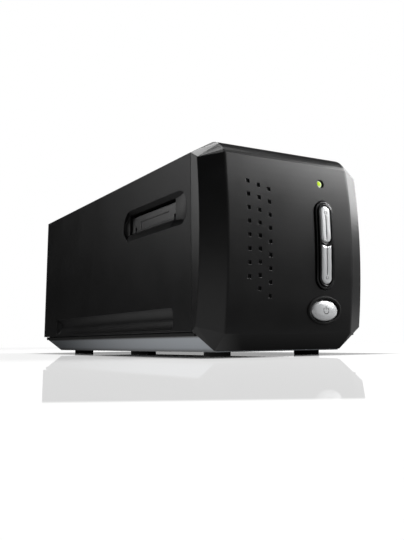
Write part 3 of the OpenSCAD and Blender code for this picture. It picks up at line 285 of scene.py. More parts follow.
# %% [markdown]
# ## The scooped end of the film slot
#
# On the real housing the slot opens forward in a shallow scoop, where a thumb guides the film
# holder in, and its hollow floor catches the light from above. The solid already has the scoop.
# Its floor could be cut finer there, but at this size only the way it reflects is seen, so this
# group leans the normal instead: forward, and the more upward the lower a point lies. Five masks
# in a row keep the lean inside the scoop: each goes from zero to the mask before it.

# %% Group: slot scoop
X, Y, Z = 0, 1, 2
SCOOP_LIMITS = ((X, 0.0574, 0.0570), (X, 0.0525, 0.0527), (Y, -0.0925, -0.0935), (Z, 0.069, 0.070),
                (Z, 0.099, 0.098))
SCOOP_MIDDLE_Z = 0.088
slot_scoop, s_in, s_out = new_group("slot_scoop", {"Forward": -0.34, "Upward": 0.14, "Hollow": 32.0},
                                    {"Tilt": "Vector"})
place = split(slot_scoop, object_coords(slot_scoop))
measured = (calculate(slot_scoop, "ABSOLUTE", place[X]), place[Y], place[Z])
mask = 1.0
for axis, none, full in SCOOP_LIMITS:
    mask = remap(slot_scoop, measured[axis], (none, full), 0.0, mask)
below = calculate(slot_scoop, "SUBTRACT", SCOOP_MIDDLE_Z, place[Z])
upward = calculate(slot_scoop, "MULTIPLY_ADD", below, s_in["Hollow"], s_in["Upward"])
lean = add_node(slot_scoop, "ShaderNodeCombineXYZ", Y=s_in["Forward"], Z=upward).outputs[0]
feed(slot_scoop, s_out, Tilt=combine(slot_scoop, "SCALE", lean, Scale=mask))
print("group", slot_scoop.name, "with", len(SCOOP_LIMITS), "masks")

# %% [markdown]
# ## Plastic and rubber
#
# A moulded plastic is a dark or light base colour, a sheen that varies a little from place to
# place, a grain that the light catches, and edges that are lighter, partly from handling and partly
# as a painted highlight. A picture of a plastic surface could be wrapped on, but it would repeat
# and smear; `plastic` makes the finish from those facts, in metres, so the grain has one scale on
# every piece. It takes three extras for single pieces: a normal that leans (the housing's scoop), a
# height above which the colour is painted dark as shade under the side walls (the tray's upper
# edge, hidden under the skirt), and a height above which the sheen is matt (the top).

# %% Plastic finish
# how dark the painted shade on the tray's upper edge gets
SEAM_SHADE = 0.04
MATT_FADE, MATT_SHEEN = 0.0005, 0.8


def plastic(name, color, edge_wear_and_highlight_color, sheen, grain_size=0.0003, grain_depth=0.00002, gloss=0.5,
            patch_size=0.03, edge_width=0.0006, patch_strength=0.25, deep=1.0, reach=0.001,
            relief=None, seam=None, matt_above=None, **values):
    """Grained plastic: base colour mottled by the patches, edges lightened by wear and a painted highlight,
    painted shade in grooves.
    """
    material, tree, shader = new_material(name, Specular_IOR_Level=gloss, **values)
    texture = use_group(tree, grain, Grain_size=grain_size, Patch_size=patch_size, Low_sheen=sheen[0],
                        High_sheen=sheen[1])
    worn_and_lit = use_group(tree, edges, Width=edge_width)
    mottled = remap(tree, texture["Patches"], NOISE_RANGE, 1.0 - patch_strength, 1.0 + patch_strength)
    # wear and painted highlight: the edge mask lightens the base colour towards the edge colour
    tint = add_node(tree, "ShaderNodeMix", {"data_type": "RGBA"}, n0=worn_and_lit["Mask"],
                    n6=combine(tree, "SCALE", color, Scale=mottled), n7=edge_wear_and_highlight_color)
    color_out, sheen_out, normal = tint.outputs[2], texture["Sheen"], worn_and_lit["Normal"]
    height = split(tree, object_coords(tree))[Z] if seam or matt_above else None
    if deep < 1.0:
        shade = use_group(tree, recess, Deep=deep, Reach=reach)["Shade"]
        color_out = combine(tree, "SCALE", color_out, Scale=shade)
    # painted shade: above these heights the tray's colour goes dark, as if shaded by the side wall over it
    if seam:
        shade = remap(tree, height, seam, 1.0, SEAM_SHADE)
        color_out = combine(tree, "SCALE", color_out, Scale=shade)
    if relief:
        normal = combine(tree, "NORMALIZE", combine(tree, "ADD", normal, use_group(tree, relief)["Tilt"]))
    if matt_above:
        sheen_out = remap(tree, height, (matt_above - MATT_FADE, matt_above), sheen_out, MATT_SHEEN)
    bump = add_node(tree, "ShaderNodeBump", Strength=1.0, Distance=grain_depth, Height=texture["Height"],
                    Normal=normal)
    feed(tree, shader, Base_Color=color_out, Roughness=sheen_out, Normal=bump.outputs[0])
    return material


print("plastic ready")

# %% Plastic and rubber finishes
PLASTICS = {
    # name: base colour, edge colour from wear and painted highlight, sheen from and to, and what sets it
    # apart
    "housing_plastic": ((0.003, 0.003, 0.0032), (0.03, 0.03, 0.032), (0.34, 0.42),
                        dict(gloss=0.2, relief=slot_scoop, matt_above=0.1188)),
    "bezel_plastic": ((0.003, 0.003, 0.0032), (0.05, 0.05, 0.052), (0.28, 0.36),
                      dict(gloss=0.33, grain_size=0.00025, grain_depth=0.000012, edge_width=0.0004)),
    "base_plastic": ((0.30, 0.325, 0.355), (0.6, 0.62, 0.65), (0.32, 0.42),
                     dict(gloss=0.5, Metallic=0.6, patch_strength=0.04, deep=0.1, reach=0.005,
                          # the tray's upper edge is painted dark as shade under the side walls
                          seam=(0.0100, 0.0108))),
    "flap_plastic": ((0.012, 0.012, 0.0125), (0.08, 0.08, 0.082), (0.28, 0.36), dict(gloss=0.6)),
    "black_gloss": ((0.003, 0.003, 0.0032), (0.02, 0.02, 0.02), (0.10, 0.18),
                    dict(gloss=0.4, grain_depth=0.000003)),
    "key_silver": ((0.74, 0.75, 0.76), (0.95, 0.95, 0.95), (0.22, 0.30),
                   dict(gloss=0.5, Metallic=0.4, grain_size=0.00012, grain_depth=0.000004,
                        patch_strength=0.03, deep=0.12, edge_width=0.0018)),
    "key_print": ((0.06, 0.062, 0.065), (0.1, 0.1, 0.1), (0.4, 0.5), {}),
    "component_black": ((0.012, 0.012, 0.013), (0.05, 0.05, 0.05), (0.4, 0.55), {}),
    "foot_rubber": ((0.008, 0.008, 0.008), (0.03, 0.03, 0.03), (0.7, 0.85),
                    dict(gloss=0.25, grain_size=0.0006)),
    "carriage_plastic": ((0.015, 0.015, 0.016), (0.06, 0.06, 0.06), (0.5, 0.65), {}),
    "lens_black": ((0.01, 0.01, 0.011), (0.08, 0.08, 0.08), (0.25, 0.35), {}),
    "sensor_ceramic": ((0.03, 0.03, 0.045), (0.1, 0.1, 0.12), (0.15, 0.25), {}),
    "lamp_white": ((0.72, 0.73, 0.73), (0.85, 0.85, 0.85), (0.45, 0.6), dict(patch_strength=0.04)),
    "diffuser": ((0.82, 0.83, 0.81), (0.9, 0.9, 0.9), (0.3, 0.4), dict(patch_strength=0.02)),
    "gear_plastic": ((0.72, 0.70, 0.64), (0.85, 0.83, 0.78), (0.35, 0.5), dict(patch_strength=0.05)),
    "belt_rubber": ((0.015, 0.015, 0.016), (0.05, 0.05, 0.05), (0.6, 0.75), {}),
    "circuit_board": ((0.012, 0.085, 0.035), (0.30, 0.27, 0.15), (0.22, 0.34),
                      dict(grain_size=0.0008, edge_width=0.0003)),
}
finish = {name: plastic(name, *row[:3], **row[3]) for name, row in PLASTICS.items()}
print(len(finish), "plastic finishes")

# %% [markdown]
# ## Metal, mirror and lens
#
# Rods, screws, sockets and the inner chassis are bare metal. All of them share one tree: a full
# metal whose fine lines run one way, as the tool left them, and a faint stain. Three numbers say
# how fast the pattern changes along X, Y and Z, so the smallest of them is the way of the lines.
# The lens is clear glass with a smudged sheen.

# %% Metal, mirror and lens finishes
LINE_DEPTH, MIRROR_DEPTH = 0.000004, 0.0000002
STAIN_SHADE = 0.85
METALS = {
    # name: base colour, sheen from and to, waves in a metre along X, Y and Z, depth of the lines
    "steel": ((0.60, 0.61, 0.63), (0.15, 0.30), (2500, 40, 2500), LINE_DEPTH),
    "blackened_steel": ((0.03, 0.03, 0.033), (0.35, 0.5), (2500, 40, 2500), LINE_DEPTH),
    "chassis_metal": ((0.50, 0.51, 0.53), (0.35, 0.55), (300, 60, 300), LINE_DEPTH),
    "bronze": ((0.50, 0.34, 0.18), (0.3, 0.45), (2000, 60, 2000), LINE_DEPTH),
    "motor_metal": ((0.45, 0.46, 0.48), (0.25, 0.4), (60, 60, 2500), LINE_DEPTH),
    "brass": ((0.72, 0.52, 0.22), (0.2, 0.35), (60, 60, 2500), LINE_DEPTH),
    "socket_metal": ((0.62, 0.63, 0.64), (0.2, 0.35), (60, 2500, 2500), LINE_DEPTH),
    "screw_metal": ((0.50, 0.51, 0.52), (0.25, 0.4), (1500, 1500, 1500), LINE_DEPTH),
    "mirror_glass": ((0.88, 0.90, 0.92), (0.02, 0.05), (50, 50, 50), MIRROR_DEPTH),
}


def metal(name, color, sheen, waves, depth):
    """Bare metal: fine lines that run along the axis with the smallest number of waves."""
    material, tree, shader = new_material(name, Metallic=1.0)
    texture = use_group(tree, brushed, Along_X=waves[X], Along_Y=waves[Y], Along_Z=waves[Z],
                        Low_sheen=sheen[0], High_sheen=sheen[1])
    stain = use_group(tree, grain, Grain_size=0.001, Patch_size=0.02)["Patches"]
    base = combine(tree, "SCALE", color, Scale=remap(tree, stain, NOISE_RANGE, STAIN_SHADE, 1.0))
    bump = add_node(tree, "ShaderNodeBump", Strength=1.0, Distance=depth, Height=texture["Height"])
    feed(tree, shader, Base_Color=base, Roughness=texture["Sheen"], Normal=bump.outputs[0])
    return material


finish.update({name: metal(name, *row) for name, row in METALS.items()})
finish["lens_glass"], tree, shader = new_material("lens_glass", Transmission_Weight=1.0, IOR=1.52,
                                                  Base_Color=(0.9, 0.96, 1.0))
smudge = use_group(tree, grain, Grain_size=0.002, Patch_size=0.01, Low_sheen=0.01, High_sheen=0.06)
feed(tree, shader, Roughness=smudge["Sheen"])
print(len(finish), "finishes")

# %% [markdown]
# ## The status light
#
# A light pipe is clear acrylic with a coloured lamp behind it. It could be real glass over a real
# lamp, which would take many samples for a dot this small. Here the surface glows by itself, and
# the colour follows the distance from the lamp's axis, which sits a little off the pipe's own:
# full in the middle, paler outwards, and dark past the cone of the lamp.

# %% Status light finish
LIGHT_X, LIGHT_Z = 0.0226, 0.099
OFF_AXIS_X, OFF_AXIS_Z = 0.0006, -0.0002
CONE_R = 0.0023
GREEN_STOP = 0.4
GLOW_COLORS = ((0.62, 0.85, 0.03), (0.38, 0.6, 0.01), (1.0, 1.0, 1.0), (0.03, 0.06, 0.0))
finish["light_lens"], tree, shader = new_material("light_lens", Specular_IOR_Level=0.5, Roughness=0.12,
                                                  Base_Color=(0.35, 0.5, 0.03), Emission_Strength=0.9)
from_axis = add_node(tree, "ShaderNodeMapping", Vector=object_coords(tree),
                     Location=(-LIGHT_X + OFF_AXIS_X, 0.0, -LIGHT_Z + OFF_AXIS_Z), Scale=(1.0, 0.0, 1.0))
distance = combine(tree, "LENGTH", from_axis.outputs[0])
ramp = add_node(tree, "ShaderNodeValToRGB", Fac=remap(tree, distance, (0.0, CONE_R), 0.0, 1.0))
stops = ramp.color_ramp.elements    # starts with one stop at 0 and one at 1
stops.new(GREEN_STOP)
stops.new(1.0)
for stop, color in zip(stops, GLOW_COLORS):
    stop.color = (*color, 1.0)
feed(tree, shader, Emission_Color=ramp.outputs["Color"])
print("status light at", LIGHT_X, LIGHT_Z)

# %% [markdown]
# ## Which node wears which finish
#
# Each node could be given its material by hand. The record already names a material slot for
# every node, and the finishes carry the same names, so one loop dresses the whole frame.

# %% Dress the nodes
for part in frame["record"]["subparts"]:
    slots = nodes[part["node"]].data.materials
    slots.clear()
    slots.append(finish[part["material_slot"]])

# %% [markdown]
# ## Surfaces from arrays
#
# A new piece could be modelled by hand, but a formula can be read and changed. So every new piece
# is a grid of points that a formula fills in one go. `surface` takes an array of points with two
# directions, joins neighbours into four-sided faces, and may wrap either direction round to its
# start, so tubes and rings close without a seam. `make_piece` welds the parts of one piece, turns
# their faces outwards, and lets the piece ride on its body.

# %% Surface helpers
WELD_DISTANCE, THINNEST_FACE = 1e-6, 1e-7


def surface(points, wrap_u=False, wrap_v=False):
    """Vertices and quads of a grid of points (u, v, xyz); a wrapped direction joins its ends."""
    count_u, count_v = points.shape[:2]
    index = np.arange(count_u * count_v).reshape(count_u, count_v)
    if wrap_u:
        index = np.concatenate([index, index[:1]], axis=0)
    if wrap_v:
        index = np.concatenate([index, index[:, :1]], axis=1)
    corners = [index[:-1, :-1], index[1:, :-1], index[1:, 1:], index[:-1, 1:]]
    return points.reshape(-1, 3), np.stack(corners, axis=-1).reshape(-1, 4)


def weld(mesh):
    """Merges points that lie together, drops faces without area, and turns the rest outwards."""
    work = bmesh.new()
    work.from_mesh(mesh)
    bmesh.ops.remove_doubles(work, verts=work.verts, dist=WELD_DISTANCE)
    bmesh.ops.dissolve_degenerate(work, dist=THINNEST_FACE, edges=work.edges)
    bmesh.ops.recalc_face_normals(work, faces=work.faces)
    work.to_mesh(mesh)
    work.free()


def make_piece(name, parts, body, material, smooth_angle=40.0):
    """One object from several (vertices, quads) parts, shaded smooth up to an angle in degrees."""
    starts = np.cumsum([0] + [len(vertices) for vertices, _ in parts])
    vertices = np.concatenate([vertices for vertices, _ in parts])
    quads = np.concatenate([quads + start for (_, quads), start in zip(parts, starts)])
    mesh = bpy.data.meshes.new(name)
    mesh.from_pydata(vertices.tolist(), [], quads.tolist())
    weld(mesh)
    mesh.polygons.foreach_set("use_smooth", np.ones(len(mesh.polygons), bool))
    mesh.set_sharp_from_angle(angle=math.radians(smooth_angle))
    mesh.materials.append(finish[material])
    piece = bpy.data.objects.new(name, mesh)
    bpy.context.scene.collection.objects.link(piece)
    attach(piece, body)
    print(name, len(mesh.polygons), "faces")
    return piece


print("surface tools ready")

# %% [markdown]
# ## The power button
#
# The button is one silver cap: a shallow dome over an oval, a straight side, a flange that keeps
# it from falling out, and a round stem that presses the switch. It could be a scaled sphere on a
# cylinder, but the real dome is flat in the middle and turns down fast near its rim. All of it is
# one family of ovals, so a list of rings (half width, half height, place along Y) describes the
# whole piece, and a power of three gives the dome its flat middle.

# %% Ovals
def oval_rings(rings, x, z, steps=96, power=1.0):
    """Ring i, angle a -> (x + w_i C, y_i, z + h_i S), where C and S are cos a and sin a to a power.

    A power under 1 keeps the sign and pushes the ring out towards a rectangle.
    """
    rings = np.asarray(rings)
    angle = np.linspace(0.0, 2.0 * np.pi, steps, endpoint=False)
    across = np.sign(np.cos(angle)) * np.abs(np.cos(angle)) ** power
    upward = np.sign(np.sin(angle)) * np.abs(np.sin(angle)) ** power
    width, height, along = rings[:, :1], rings[:, 1:2], rings[:, 2:3]
    return np.stack([x + width * across, along * np.ones(steps), z + height * upward], axis=-1)


print("ovals ready")

# %% Power button
FLANGE, FLANGE_T, FLANGE_Y = 0.001, 0.0012, -0.12784
DOME_DEPTH, DOME_POWER, STEM_R = 0.0023, 3.0, 0.0016
CAP_GAP_W, CAP_GAP_H = 0.0010, 0.0004
DOME_RINGS = 28
low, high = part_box("power_button")
button_x, button_z = (low[X] + high[X]) / 2, (low[Z] + high[Z]) / 2
tip_y, stem_y = low[Y], high[Y]
opening_w, opening_h = (high[X] - low[X]) / 2 - FLANGE, (high[Z] - low[Z]) / 2 - FLANGE
half_w, half_h = opening_w - CAP_GAP_W, opening_h - CAP_GAP_H
flange_w, flange_h, flange_rear = opening_w + FLANGE, opening_h + FLANGE, FLANGE_Y + FLANGE_T
share = np.sin(np.linspace(0.0, np.pi / 2, DOME_RINGS))
dome_y = tip_y + DOME_DEPTH * (1.0 - (1.0 - share ** DOME_POWER) ** (1.0 / DOME_POWER))
dome = np.stack([half_w * share, half_h * share, dome_y], axis=1)
back = [(half_w, half_h, FLANGE_Y), (flange_w, flange_h, FLANGE_Y), (flange_w, flange_h, flange_rear),
        (STEM_R, STEM_R, flange_rear), (STEM_R, STEM_R, stem_y), (0.0, 0.0, stem_y)]
cap_points = oval_rings(np.concatenate([dome, back]), button_x, button_z)
power_cap = make_piece("power_cap", [surface(cap_points, wrap_v=True)], "power_key_body", "key_silver",
                       smooth_angle=50.0)
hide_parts("power_button")

# %% [markdown]
# ## The ring around the power button
#
# A dark ring lies half sunk in the face around the button and hides the edge of its opening. A
# torus from the menu is round and flat, and this one is oval and follows the bulged face, so its
# middle line is laid on the face and a small circle is carried along it.

# %% Power ring
FACE_Y, FACE_R, FACE_Z = -0.135, 0.335, 0.073
RING_R, RING_OUT = 0.0010, 0.0009
RING_STEPS, SECTION_STEPS = 96, 16


def face_y(z):
    """The front bulges as a circle about the height Z: y = FACE_Y + R - sqrt(R^2 - (z - Z)^2)."""
    return FACE_Y + FACE_R - np.sqrt(FACE_R ** 2 - (z - FACE_Z) ** 2)


around = np.linspace(0.0, 2.0 * np.pi, RING_STEPS, endpoint=False)[:, None]
section = np.linspace(0.0, 2.0 * np.pi, SECTION_STEPS, endpoint=False)[None, :]
ring_w = opening_w + RING_OUT + RING_R * np.cos(section)
ring_h = opening_h + RING_OUT + RING_R * np.cos(section)
ring_x, ring_z = button_x + ring_w * np.cos(around), button_z + ring_h * np.sin(around)
ring_y = face_y(ring_z) - RING_R * np.sin(section)
ring_points = np.stack([ring_x, ring_y, ring_z], axis=-1)
make_piece("power_ring", [surface(ring_points, wrap_u=True, wrap_v=True)], "shell", "foot_rubber",
           smooth_angle=60.0)

# %% [markdown]
# ## Shadow gap
#
# Between each side wall and the grey tray the real housing has a narrow gap that reads as a dark
# line. Shade alone leaves it grey, because the tray is pale and the gap is shallow, so a slim
# dark strip of painted shade fills it. It is a rounded box: ovals whose sine and cosine are raised to a low
# power.

# %% Gap strips of painted shade
STRIP_X, STRIP_Z, STRIP_W, STRIP_H = 0.0553, 0.0121, 0.0009, 0.0011
STRIP_FRONT, STRIP_REAR, STRIP_POWER = -0.1187, 0.1335, 0.35
strip_rings = [(0.0, 0.0, STRIP_FRONT), (STRIP_W, STRIP_H, STRIP_FRONT), (STRIP_W, STRIP_H, STRIP_REAR),
               (0.0, 0.0, STRIP_REAR)]
strips = [surface(oval_rings(strip_rings, hand * STRIP_X, STRIP_Z, steps=48, power=STRIP_POWER), wrap_v=True)
          for hand in (-1, 1)]
# painted shade: two dark strips stand in for the shade inside the gap
make_piece("painted_gap_shade", strips, "shell", "foot_rubber")

# %% [markdown]
# ## Feet
#
# Each rubber foot is a puck with a rounded lower edge, pressed into the base. A cylinder with a
# bevel would do as well; a profile turned about its own axis needs no modifier. Both rows have
# three feet, the middle one smaller.

# %% Rubber feet
FOOT_EDGE, FOOT_TOP = 0.0005, 0.0034
FEET = ((0.032, -0.1025, 0.0076), (0.032, 0.0, 0.006), (0.0295, 0.115, 0.0076))    # x, y and radius


def puck(x, y, radius, steps=48, edge_steps=6):
    """Ring i, angle a -> (x + r_i cos a, y + r_i sin a, z_i), from the middle of the sole to the top."""
    edge = np.linspace(-np.pi / 2, 0.0, edge_steps)
    radii = np.concatenate([[0.0], radius - FOOT_EDGE + FOOT_EDGE * np.cos(edge), [radius, 0.0]])
    heights = np.concatenate([[0.0], FOOT_EDGE + FOOT_EDGE * np.sin(edge), [FOOT_TOP, FOOT_TOP]])
    angle = np.linspace(0.0, 2.0 * np.pi, steps, endpoint=False)
    return surface(np.stack([x + radii[:, None] * np.cos(angle), y + radii[:, None] * np.sin(angle),
                             heights[:, None] * np.ones(steps)], axis=-1), wrap_v=True)


pucks = [puck(hand * x, y, radius) for hand in (-1, 1) for x, y, radius in FEET]
feet = make_piece("rubber_pucks", pucks, "shell", "foot_rubber")
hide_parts("rubber_feet")

# %% [markdown]
# ## Signs on the keys
#
# Each key carries a small printed sign. Print has no depth worth modelling, and a picture could
# be laid on the key, but a picture blurs when it is small. So a sign is a thin line laid on the
# surface: `ribbon` gives a path a small flattened section and closes it in a point at both ends,
# so it is a closed solid like every other piece.

# %% Line helpers
def ribbon(path, radius, sides=8, flatness=0.4):
    """Point i, angle a -> path_i + r_i (cos a * side_i + flatness * sin a * outward).

    The radius r_i is the line's, and zero at both ends.
    """
    path = np.asarray(path)
    tangent = np.gradient(path, axis=0)
    tangent /= np.linalg.norm(tangent, axis=1, keepdims=True)
    outward = np.array([0.0, -1.0, 0.0])
    across_line = np.cross(tangent, outward)
    across_line /= np.linalg.norm(across_line, axis=1, keepdims=True)
    reach = np.full(len(path), radius)
    reach[[0, -1]] = 0.0
    angle = np.linspace(0.0, 2.0 * np.pi, sides, endpoint=False)
    round_part = np.cos(angle)[None, :, None] * across_line[:, None, :]
    thick_part = np.sin(angle)[None, :, None] * outward
    section = round_part + flatness * thick_part
    return surface(path[:, None, :] + reach[:, None, None] * section, wrap_v=True)


def arc(x, y, z, radius, start, end, steps=40):
    """Angle a from start to end in degrees -> (x + r cos a, y, z + r sin a)."""
    angle = np.radians(np.linspace(start, end, steps))
    return np.stack([x + radius * np.cos(angle), np.full(steps, y), z + radius * np.sin(angle)], axis=1)


print("line tools ready")

# %% Key signs
LINE_R, SIGN_R = 0.00019, 0.0019
BAR_FROM, BAR_TO, BAR_STEPS = 0.0003, 0.0024, 12
KEY_PROUD, MARK_R = 0.002, 0.0008
MARKS = {"upper_key": 0.0811, "lower_key": 0.0434}    # height of the round mark on each long key

bar_z = button_z + np.linspace(BAR_FROM, BAR_TO, BAR_STEPS)
bar = np.stack([np.full(BAR_STEPS, button_x), np.full(BAR_STEPS, tip_y), bar_z], axis=1)
open_ring = arc(button_x, tip_y, button_z, SIGN_R, start=130, end=410)
power_lines = [ribbon(open_ring, LINE_R), ribbon(bar, LINE_R)]
make_piece("power_sign", power_lines, "power_key_body", "key_print")
for key, mark_z in MARKS.items():
    mark = arc(button_x, face_y(mark_z) - KEY_PROUD, mark_z, MARK_R, start=-60, end=290)
    make_piece(key + "_sign", [ribbon(mark, LINE_R)], key + "_body", "key_print")

# %% [markdown]
# ## The surround
#
# A studio for a black product is mostly dark: each bright sheet that the plastic mirrors turns
# its black into grey. An even white world would do for a pale product. Here it is white only for
# the lens: mirrored rays meet a dark room with one bright sheet behind the scanner and a dim one
# on its right, and soft light comes from an even, low grey. Two dot products find how far a
# direction lies from the middle of each sheet.

# %% World helpers
def seen_directly(tree):
    """One where the lens sees this straight or through glass, zero where it only lights or mirrors."""
    path = add_node(tree, "ShaderNodeLightPath").outputs
    return calculate(tree, "ADD", path["Is Camera Ray"], path["Is Transmission Ray"], clamp=True)


def heading(azimuth, elevation):
    """Unit vector of a direction: azimuth from +Y towards +X and elevation, in degrees."""
    turned, raised = math.radians(azimuth), math.radians(elevation)
    return (math.sin(turned) * math.cos(raised), math.cos(turned) * math.cos(raised), math.sin(raised))


def cosine(degrees):
    """The dot product of two directions that are this far apart."""
    return math.cos(math.radians(degrees))


print("world helpers ready")

# %% World
BACKDROP_AZIMUTH, BACKDROP_ELEVATION, BACKDROP_OUTER, BACKDROP_INNER = 27.0, 3.0, 28.0, 22.0
FRONT_AZIMUTH, FRONT_ELEVATION, FRONT_OUTER, FRONT_INNER = 112.0, 12.0, 45.0, 10.0
ROOM, FRONT_ROOM, AMBIENT = 0.03, 0.25, 0.2
WHITE = (1.0, 1.0, 1.0)
world = bpy.data.worlds.new("surround")
bpy.context.scene.world = world
world.use_nodes = True
tree = world.node_tree
tree.nodes.clear()
direction = add_node(tree, "ShaderNodeTexCoord").outputs["Generated"]
to_front = combine(tree, "DOT_PRODUCT", direction, heading(FRONT_AZIMUTH, FRONT_ELEVATION))
to_back = combine(tree, "DOT_PRODUCT", direction, heading(BACKDROP_AZIMUTH, BACKDROP_ELEVATION))
front_fade = (cosine(FRONT_OUTER), cosine(FRONT_INNER))
back_fade = (cosine(BACKDROP_OUTER), cosine(BACKDROP_INNER))
front_sheet = remap(tree, to_front, front_fade, ROOM, FRONT_ROOM, smooth=True)
sheets = remap(tree, to_back, back_fade, front_sheet, 1.0, smooth=True)
mirrored = add_node(tree, "ShaderNodeBackground", Color=WHITE, Strength=sheets)
soft = add_node(tree, "ShaderNodeBackground", Color=WHITE, Strength=AMBIENT)
shown = add_node(tree, "ShaderNodeBackground", Color=WHITE, Strength=1.0)
is_glossy = add_node(tree, "ShaderNodeLightPath").outputs["Is Glossy Ray"]
received = add_node(tree, "ShaderNodeMixShader", n0=is_glossy, n1=soft.outputs[0], n2=mirrored.outputs[0])
mix = add_node(tree, "ShaderNodeMixShader", n0=seen_directly(tree), n1=received.outputs[0],
               n2=shown.outputs[0])
tree.links.new(mix.outputs[0], add_node(tree, "ShaderNodeOutputWorld").inputs[0])
print("surround", world.name, "with soft light", AMBIENT)

# %% [markdown]
# ## The floor
#
# The scanner stands on a white plate with a thin polish, which gives a faint mirror image below
# it. A plain white diffuse floor would need so much light that the black plastic goes grey.
# So the lens sees the floor glow by itself, a soft border of painted shadow follows the scanner's
# foot, where the floor's colour darkens and its glow gives way to the real shade, and the polish
# shows only at grazing angles and close by. All other rays meet a floor that is dark but for three
# patches, left, right and in front, whose glow lights the lower sides.

# %% Floor sheet
FLOOR_HALF = 12.0
span = np.linspace(-FLOOR_HALF, FLOOR_HALF, 3)
grid = np.stack([*np.meshgrid(span, span, indexing="ij"), np.zeros((3, 3))], axis=-1)
floor_mesh = bpy.data.meshes.new("floor")
floor_points, floor_quads = surface(grid)
floor_mesh.from_pydata(floor_points.tolist(), [], floor_quads.tolist())
floor = bpy.data.objects.new("floor", floor_mesh)
bpy.context.scene.collection.objects.link(floor)
print("floor", 2 * FLOOR_HALF, "m wide")

# %% Floor finish: distances and what the lens sees
WHITE_NEAR, WHITE_FAR, WHITE_LIMITS = 0.6, 1.0, (0.45, 1.2)
SHADE_WIDTH = 0.022
FLOOR_TONE, PAINTED_SHADOW_TONE = 0.85, 0.16
GLOW_SHARE_UNSEEN = 0.9
floor_finish = bpy.data.materials.new("floor_white")
floor_mesh.materials.append(floor_finish)
floor_finish.use_nodes = True
tree = floor_finish.node_tree
tree.nodes.clear()
coords = object_coords(tree)
floor_x, floor_y, _ = split(tree, coords)
from_middle = combine(tree, "LENGTH", coords)
half_box = (cad_box[1][X], cad_box[1][Y], 0.0)
past_box = combine(tree, "SUBTRACT", combine(tree, "ABSOLUTE", coords), half_box)
outside = combine(tree, "LENGTH", combine(tree, "MAXIMUM", past_box, (0.0, 0.0, 0.0)))
far_white = remap(tree, from_middle, WHITE_LIMITS, WHITE_NEAR, WHITE_FAR)
open_air = remap(tree, outside, (0.0, SHADE_WIDTH), 0.0, far_white, smooth=True)
seen = seen_directly(tree)
glow_share = remap(tree, seen, (0.0, 1.0), GLOW_SHARE_UNSEEN, open_air)
# painted shadow: the floor's colour darkens from FLOOR_TONE to a shadow tone within SHADE_WIDTH of the
# scanner's box
tone_with_painted_shadow = remap(tree, outside, (0.0, SHADE_WIDTH), PAINTED_SHADOW_TONE, FLOOR_TONE, smooth=True)
matt = add_node(tree, "ShaderNodeBsdfDiffuse", Color=tone_with_painted_shadow)
print("shade border", SHADE_WIDTH, "m wide")

# %% Floor finish: patches that light the scanner
LEFT_GLOW, LEFT_X, LEFT_Y = 0.75, (-0.02, -0.05), (0.2, -0.14)
RIGHT_GLOW, RIGHT_FAR_GLOW, RIGHT_X, RIGHT_FAR_X = 0.4, 0.1, (0.09, 0.14), (0.6, 0.3)
FRONT_GLOW, FRONT_NEAR_Y, FRONT_FAR_Y = 0.3, (-0.11, -0.14), (-0.185, -0.155)
left = calculate(tree, "MULTIPLY", remap(tree, floor_x, LEFT_X, 0.0, 1.0),
                 remap(tree, floor_y, LEFT_Y, 0.0, LEFT_GLOW, smooth=True))
toward_front = remap(tree, floor_y, FRONT_FAR_Y, 0.0, FRONT_GLOW)
front = remap(tree, floor_y, FRONT_NEAR_Y, 0.0, toward_front)
toward_right = remap(tree, floor_x, RIGHT_FAR_X, RIGHT_FAR_GLOW, RIGHT_GLOW)
right_patch = remap(tree, floor_x, RIGHT_X, 0.0, toward_right)
patches_glow = calculate(tree, "ADD", calculate(tree, "MAXIMUM", left, front), right_patch)
strength = remap(tree, seen, (0.0, 1.0), patches_glow, 1.0)
glow = add_node(tree, "ShaderNodeEmission", Color=WHITE, Strength=strength)
pale = add_node(tree, "ShaderNodeMixShader", n0=glow_share, n1=matt.outputs[0], n2=glow.outputs[0])
print("patches", LEFT_GLOW, RIGHT_GLOW, FRONT_GLOW)

# %% Floor finish: polish
POLISH, POLISH_LIMITS, GRAZING = 0.33, (0.4, 0.6), (0.88, 0.905)
PLATE_AZIMUTH, PLATE_EDGE = 210.5, (0.385, 0.389)
GRIT_SCALE, GRIT_SHEEN = 400.0, (0.005, 0.02)
near_plate = remap(tree, from_middle, POLISH_LIMITS, POLISH, 0.0)
facing = add_node(tree, "ShaderNodeLayerWeight", Blend=0.5).outputs["Facing"]
at_grazing = remap(tree, facing, GRAZING, 0.0, near_plate)
toward_edge = combine(tree, "DOT_PRODUCT", coords, heading(PLATE_AZIMUTH, 0.0))
polish = remap(tree, toward_edge, PLATE_EDGE, at_grazing, 0.0)
mirror = calculate(tree, "MULTIPLY", polish, seen)
dull = remap(tree, noise(tree, coords, GRIT_SCALE), NOISE_RANGE, *GRIT_SHEEN)
shine = add_node(tree, "ShaderNodeBsdfAnisotropic", Color=WHITE, Roughness=dull)
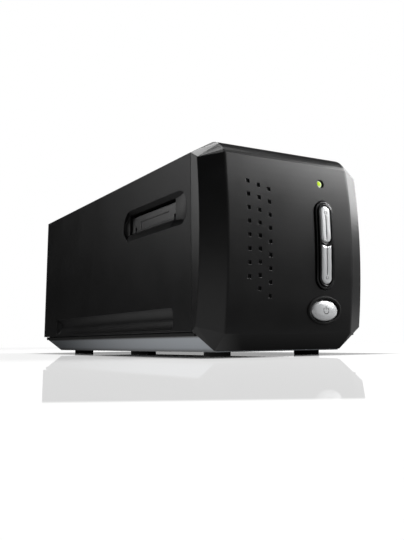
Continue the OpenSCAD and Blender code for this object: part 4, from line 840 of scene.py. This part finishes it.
top = add_node(tree, "ShaderNodeMixShader", n0=mirror, n1=pale.outputs[0], n2=shine.outputs[0])
tree.links.new(top.outputs[0], add_node(tree, "ShaderNodeOutputMaterial").inputs[0])
print("polish", POLISH, "at grazing angles")

# %% [markdown]
# ## Lamps
#
# Seven soft lamps, each placed by what it does to the black plastic. Point lamps would leave
# hard spots, so all are rectangles, and each is given the brightness of its face, because that
# is what a glossy piece mirrors; its power follows from the face's size. The large one on the
# right front draws the bright band under the brow and is the main light. The low one beside it
# and the right one fill the front facets, the left one grades the left wall, and the three high
# ones draw the edges of the top and the brow.

# %% Lamps
FRONT_HALF, LEFT_WALL = (0.0, -0.08, 0.06), (-0.0575, -0.1, 0.1)    # what the lamps aim at
SOFTBOXES = {
    # name: azimuth, elevation, distance, width and height, brightness, aim
    "front_right_softbox": (113, 33, 1.2, (0.9, 0.5), 15.0, FRONT_HALF),
    "front_low_softbox": (131, 13, 1.2, (0.25, 0.3), 3.8, FRONT_HALF),
    "left_softbox": (-49, 21, 0.6, (0.4, 0.35), 2.6, LEFT_WALL),
    "right_softbox": (80, 22, 1.2, (0.6, 0.45), 4.0, FRONT_HALF),
    "top_softbox": (5, 62, 1.2, (0.35, 0.3), 8.0, FRONT_HALF),
    "zenith_softbox": (-137, 81, 1.2, (0.3, 0.3), 13.0, FRONT_HALF),
    "brow_softbox": (98, 66, 1.2, (0.2, 0.2), 4.5, FRONT_HALF),
}


def softbox(name, azimuth, elevation, distance, size, radiance, aim):
    """A rectangular lamp of width w and height h; its power is pi * w * h * the face's brightness."""
    data = bpy.data.lights.new(name, "AREA")
    data.shape = "RECTANGLE"
    data.size, data.size_y = size
    data.energy = radiance * math.pi * size[0] * size[1]
    lamp = bpy.data.objects.new(name, data)
    bpy.context.scene.collection.objects.link(lamp)
    away = Vector(heading(azimuth, elevation))
    lamp.location = Vector(aim) + distance * away
    lamp.rotation_mode = "QUATERNION"
    lamp.rotation_quaternion = (-away).to_track_quat("-Z", "Y")
    print(name, round(data.energy, 2), "W")


for name, row in SOFTBOXES.items():
    softbox(name, *row)
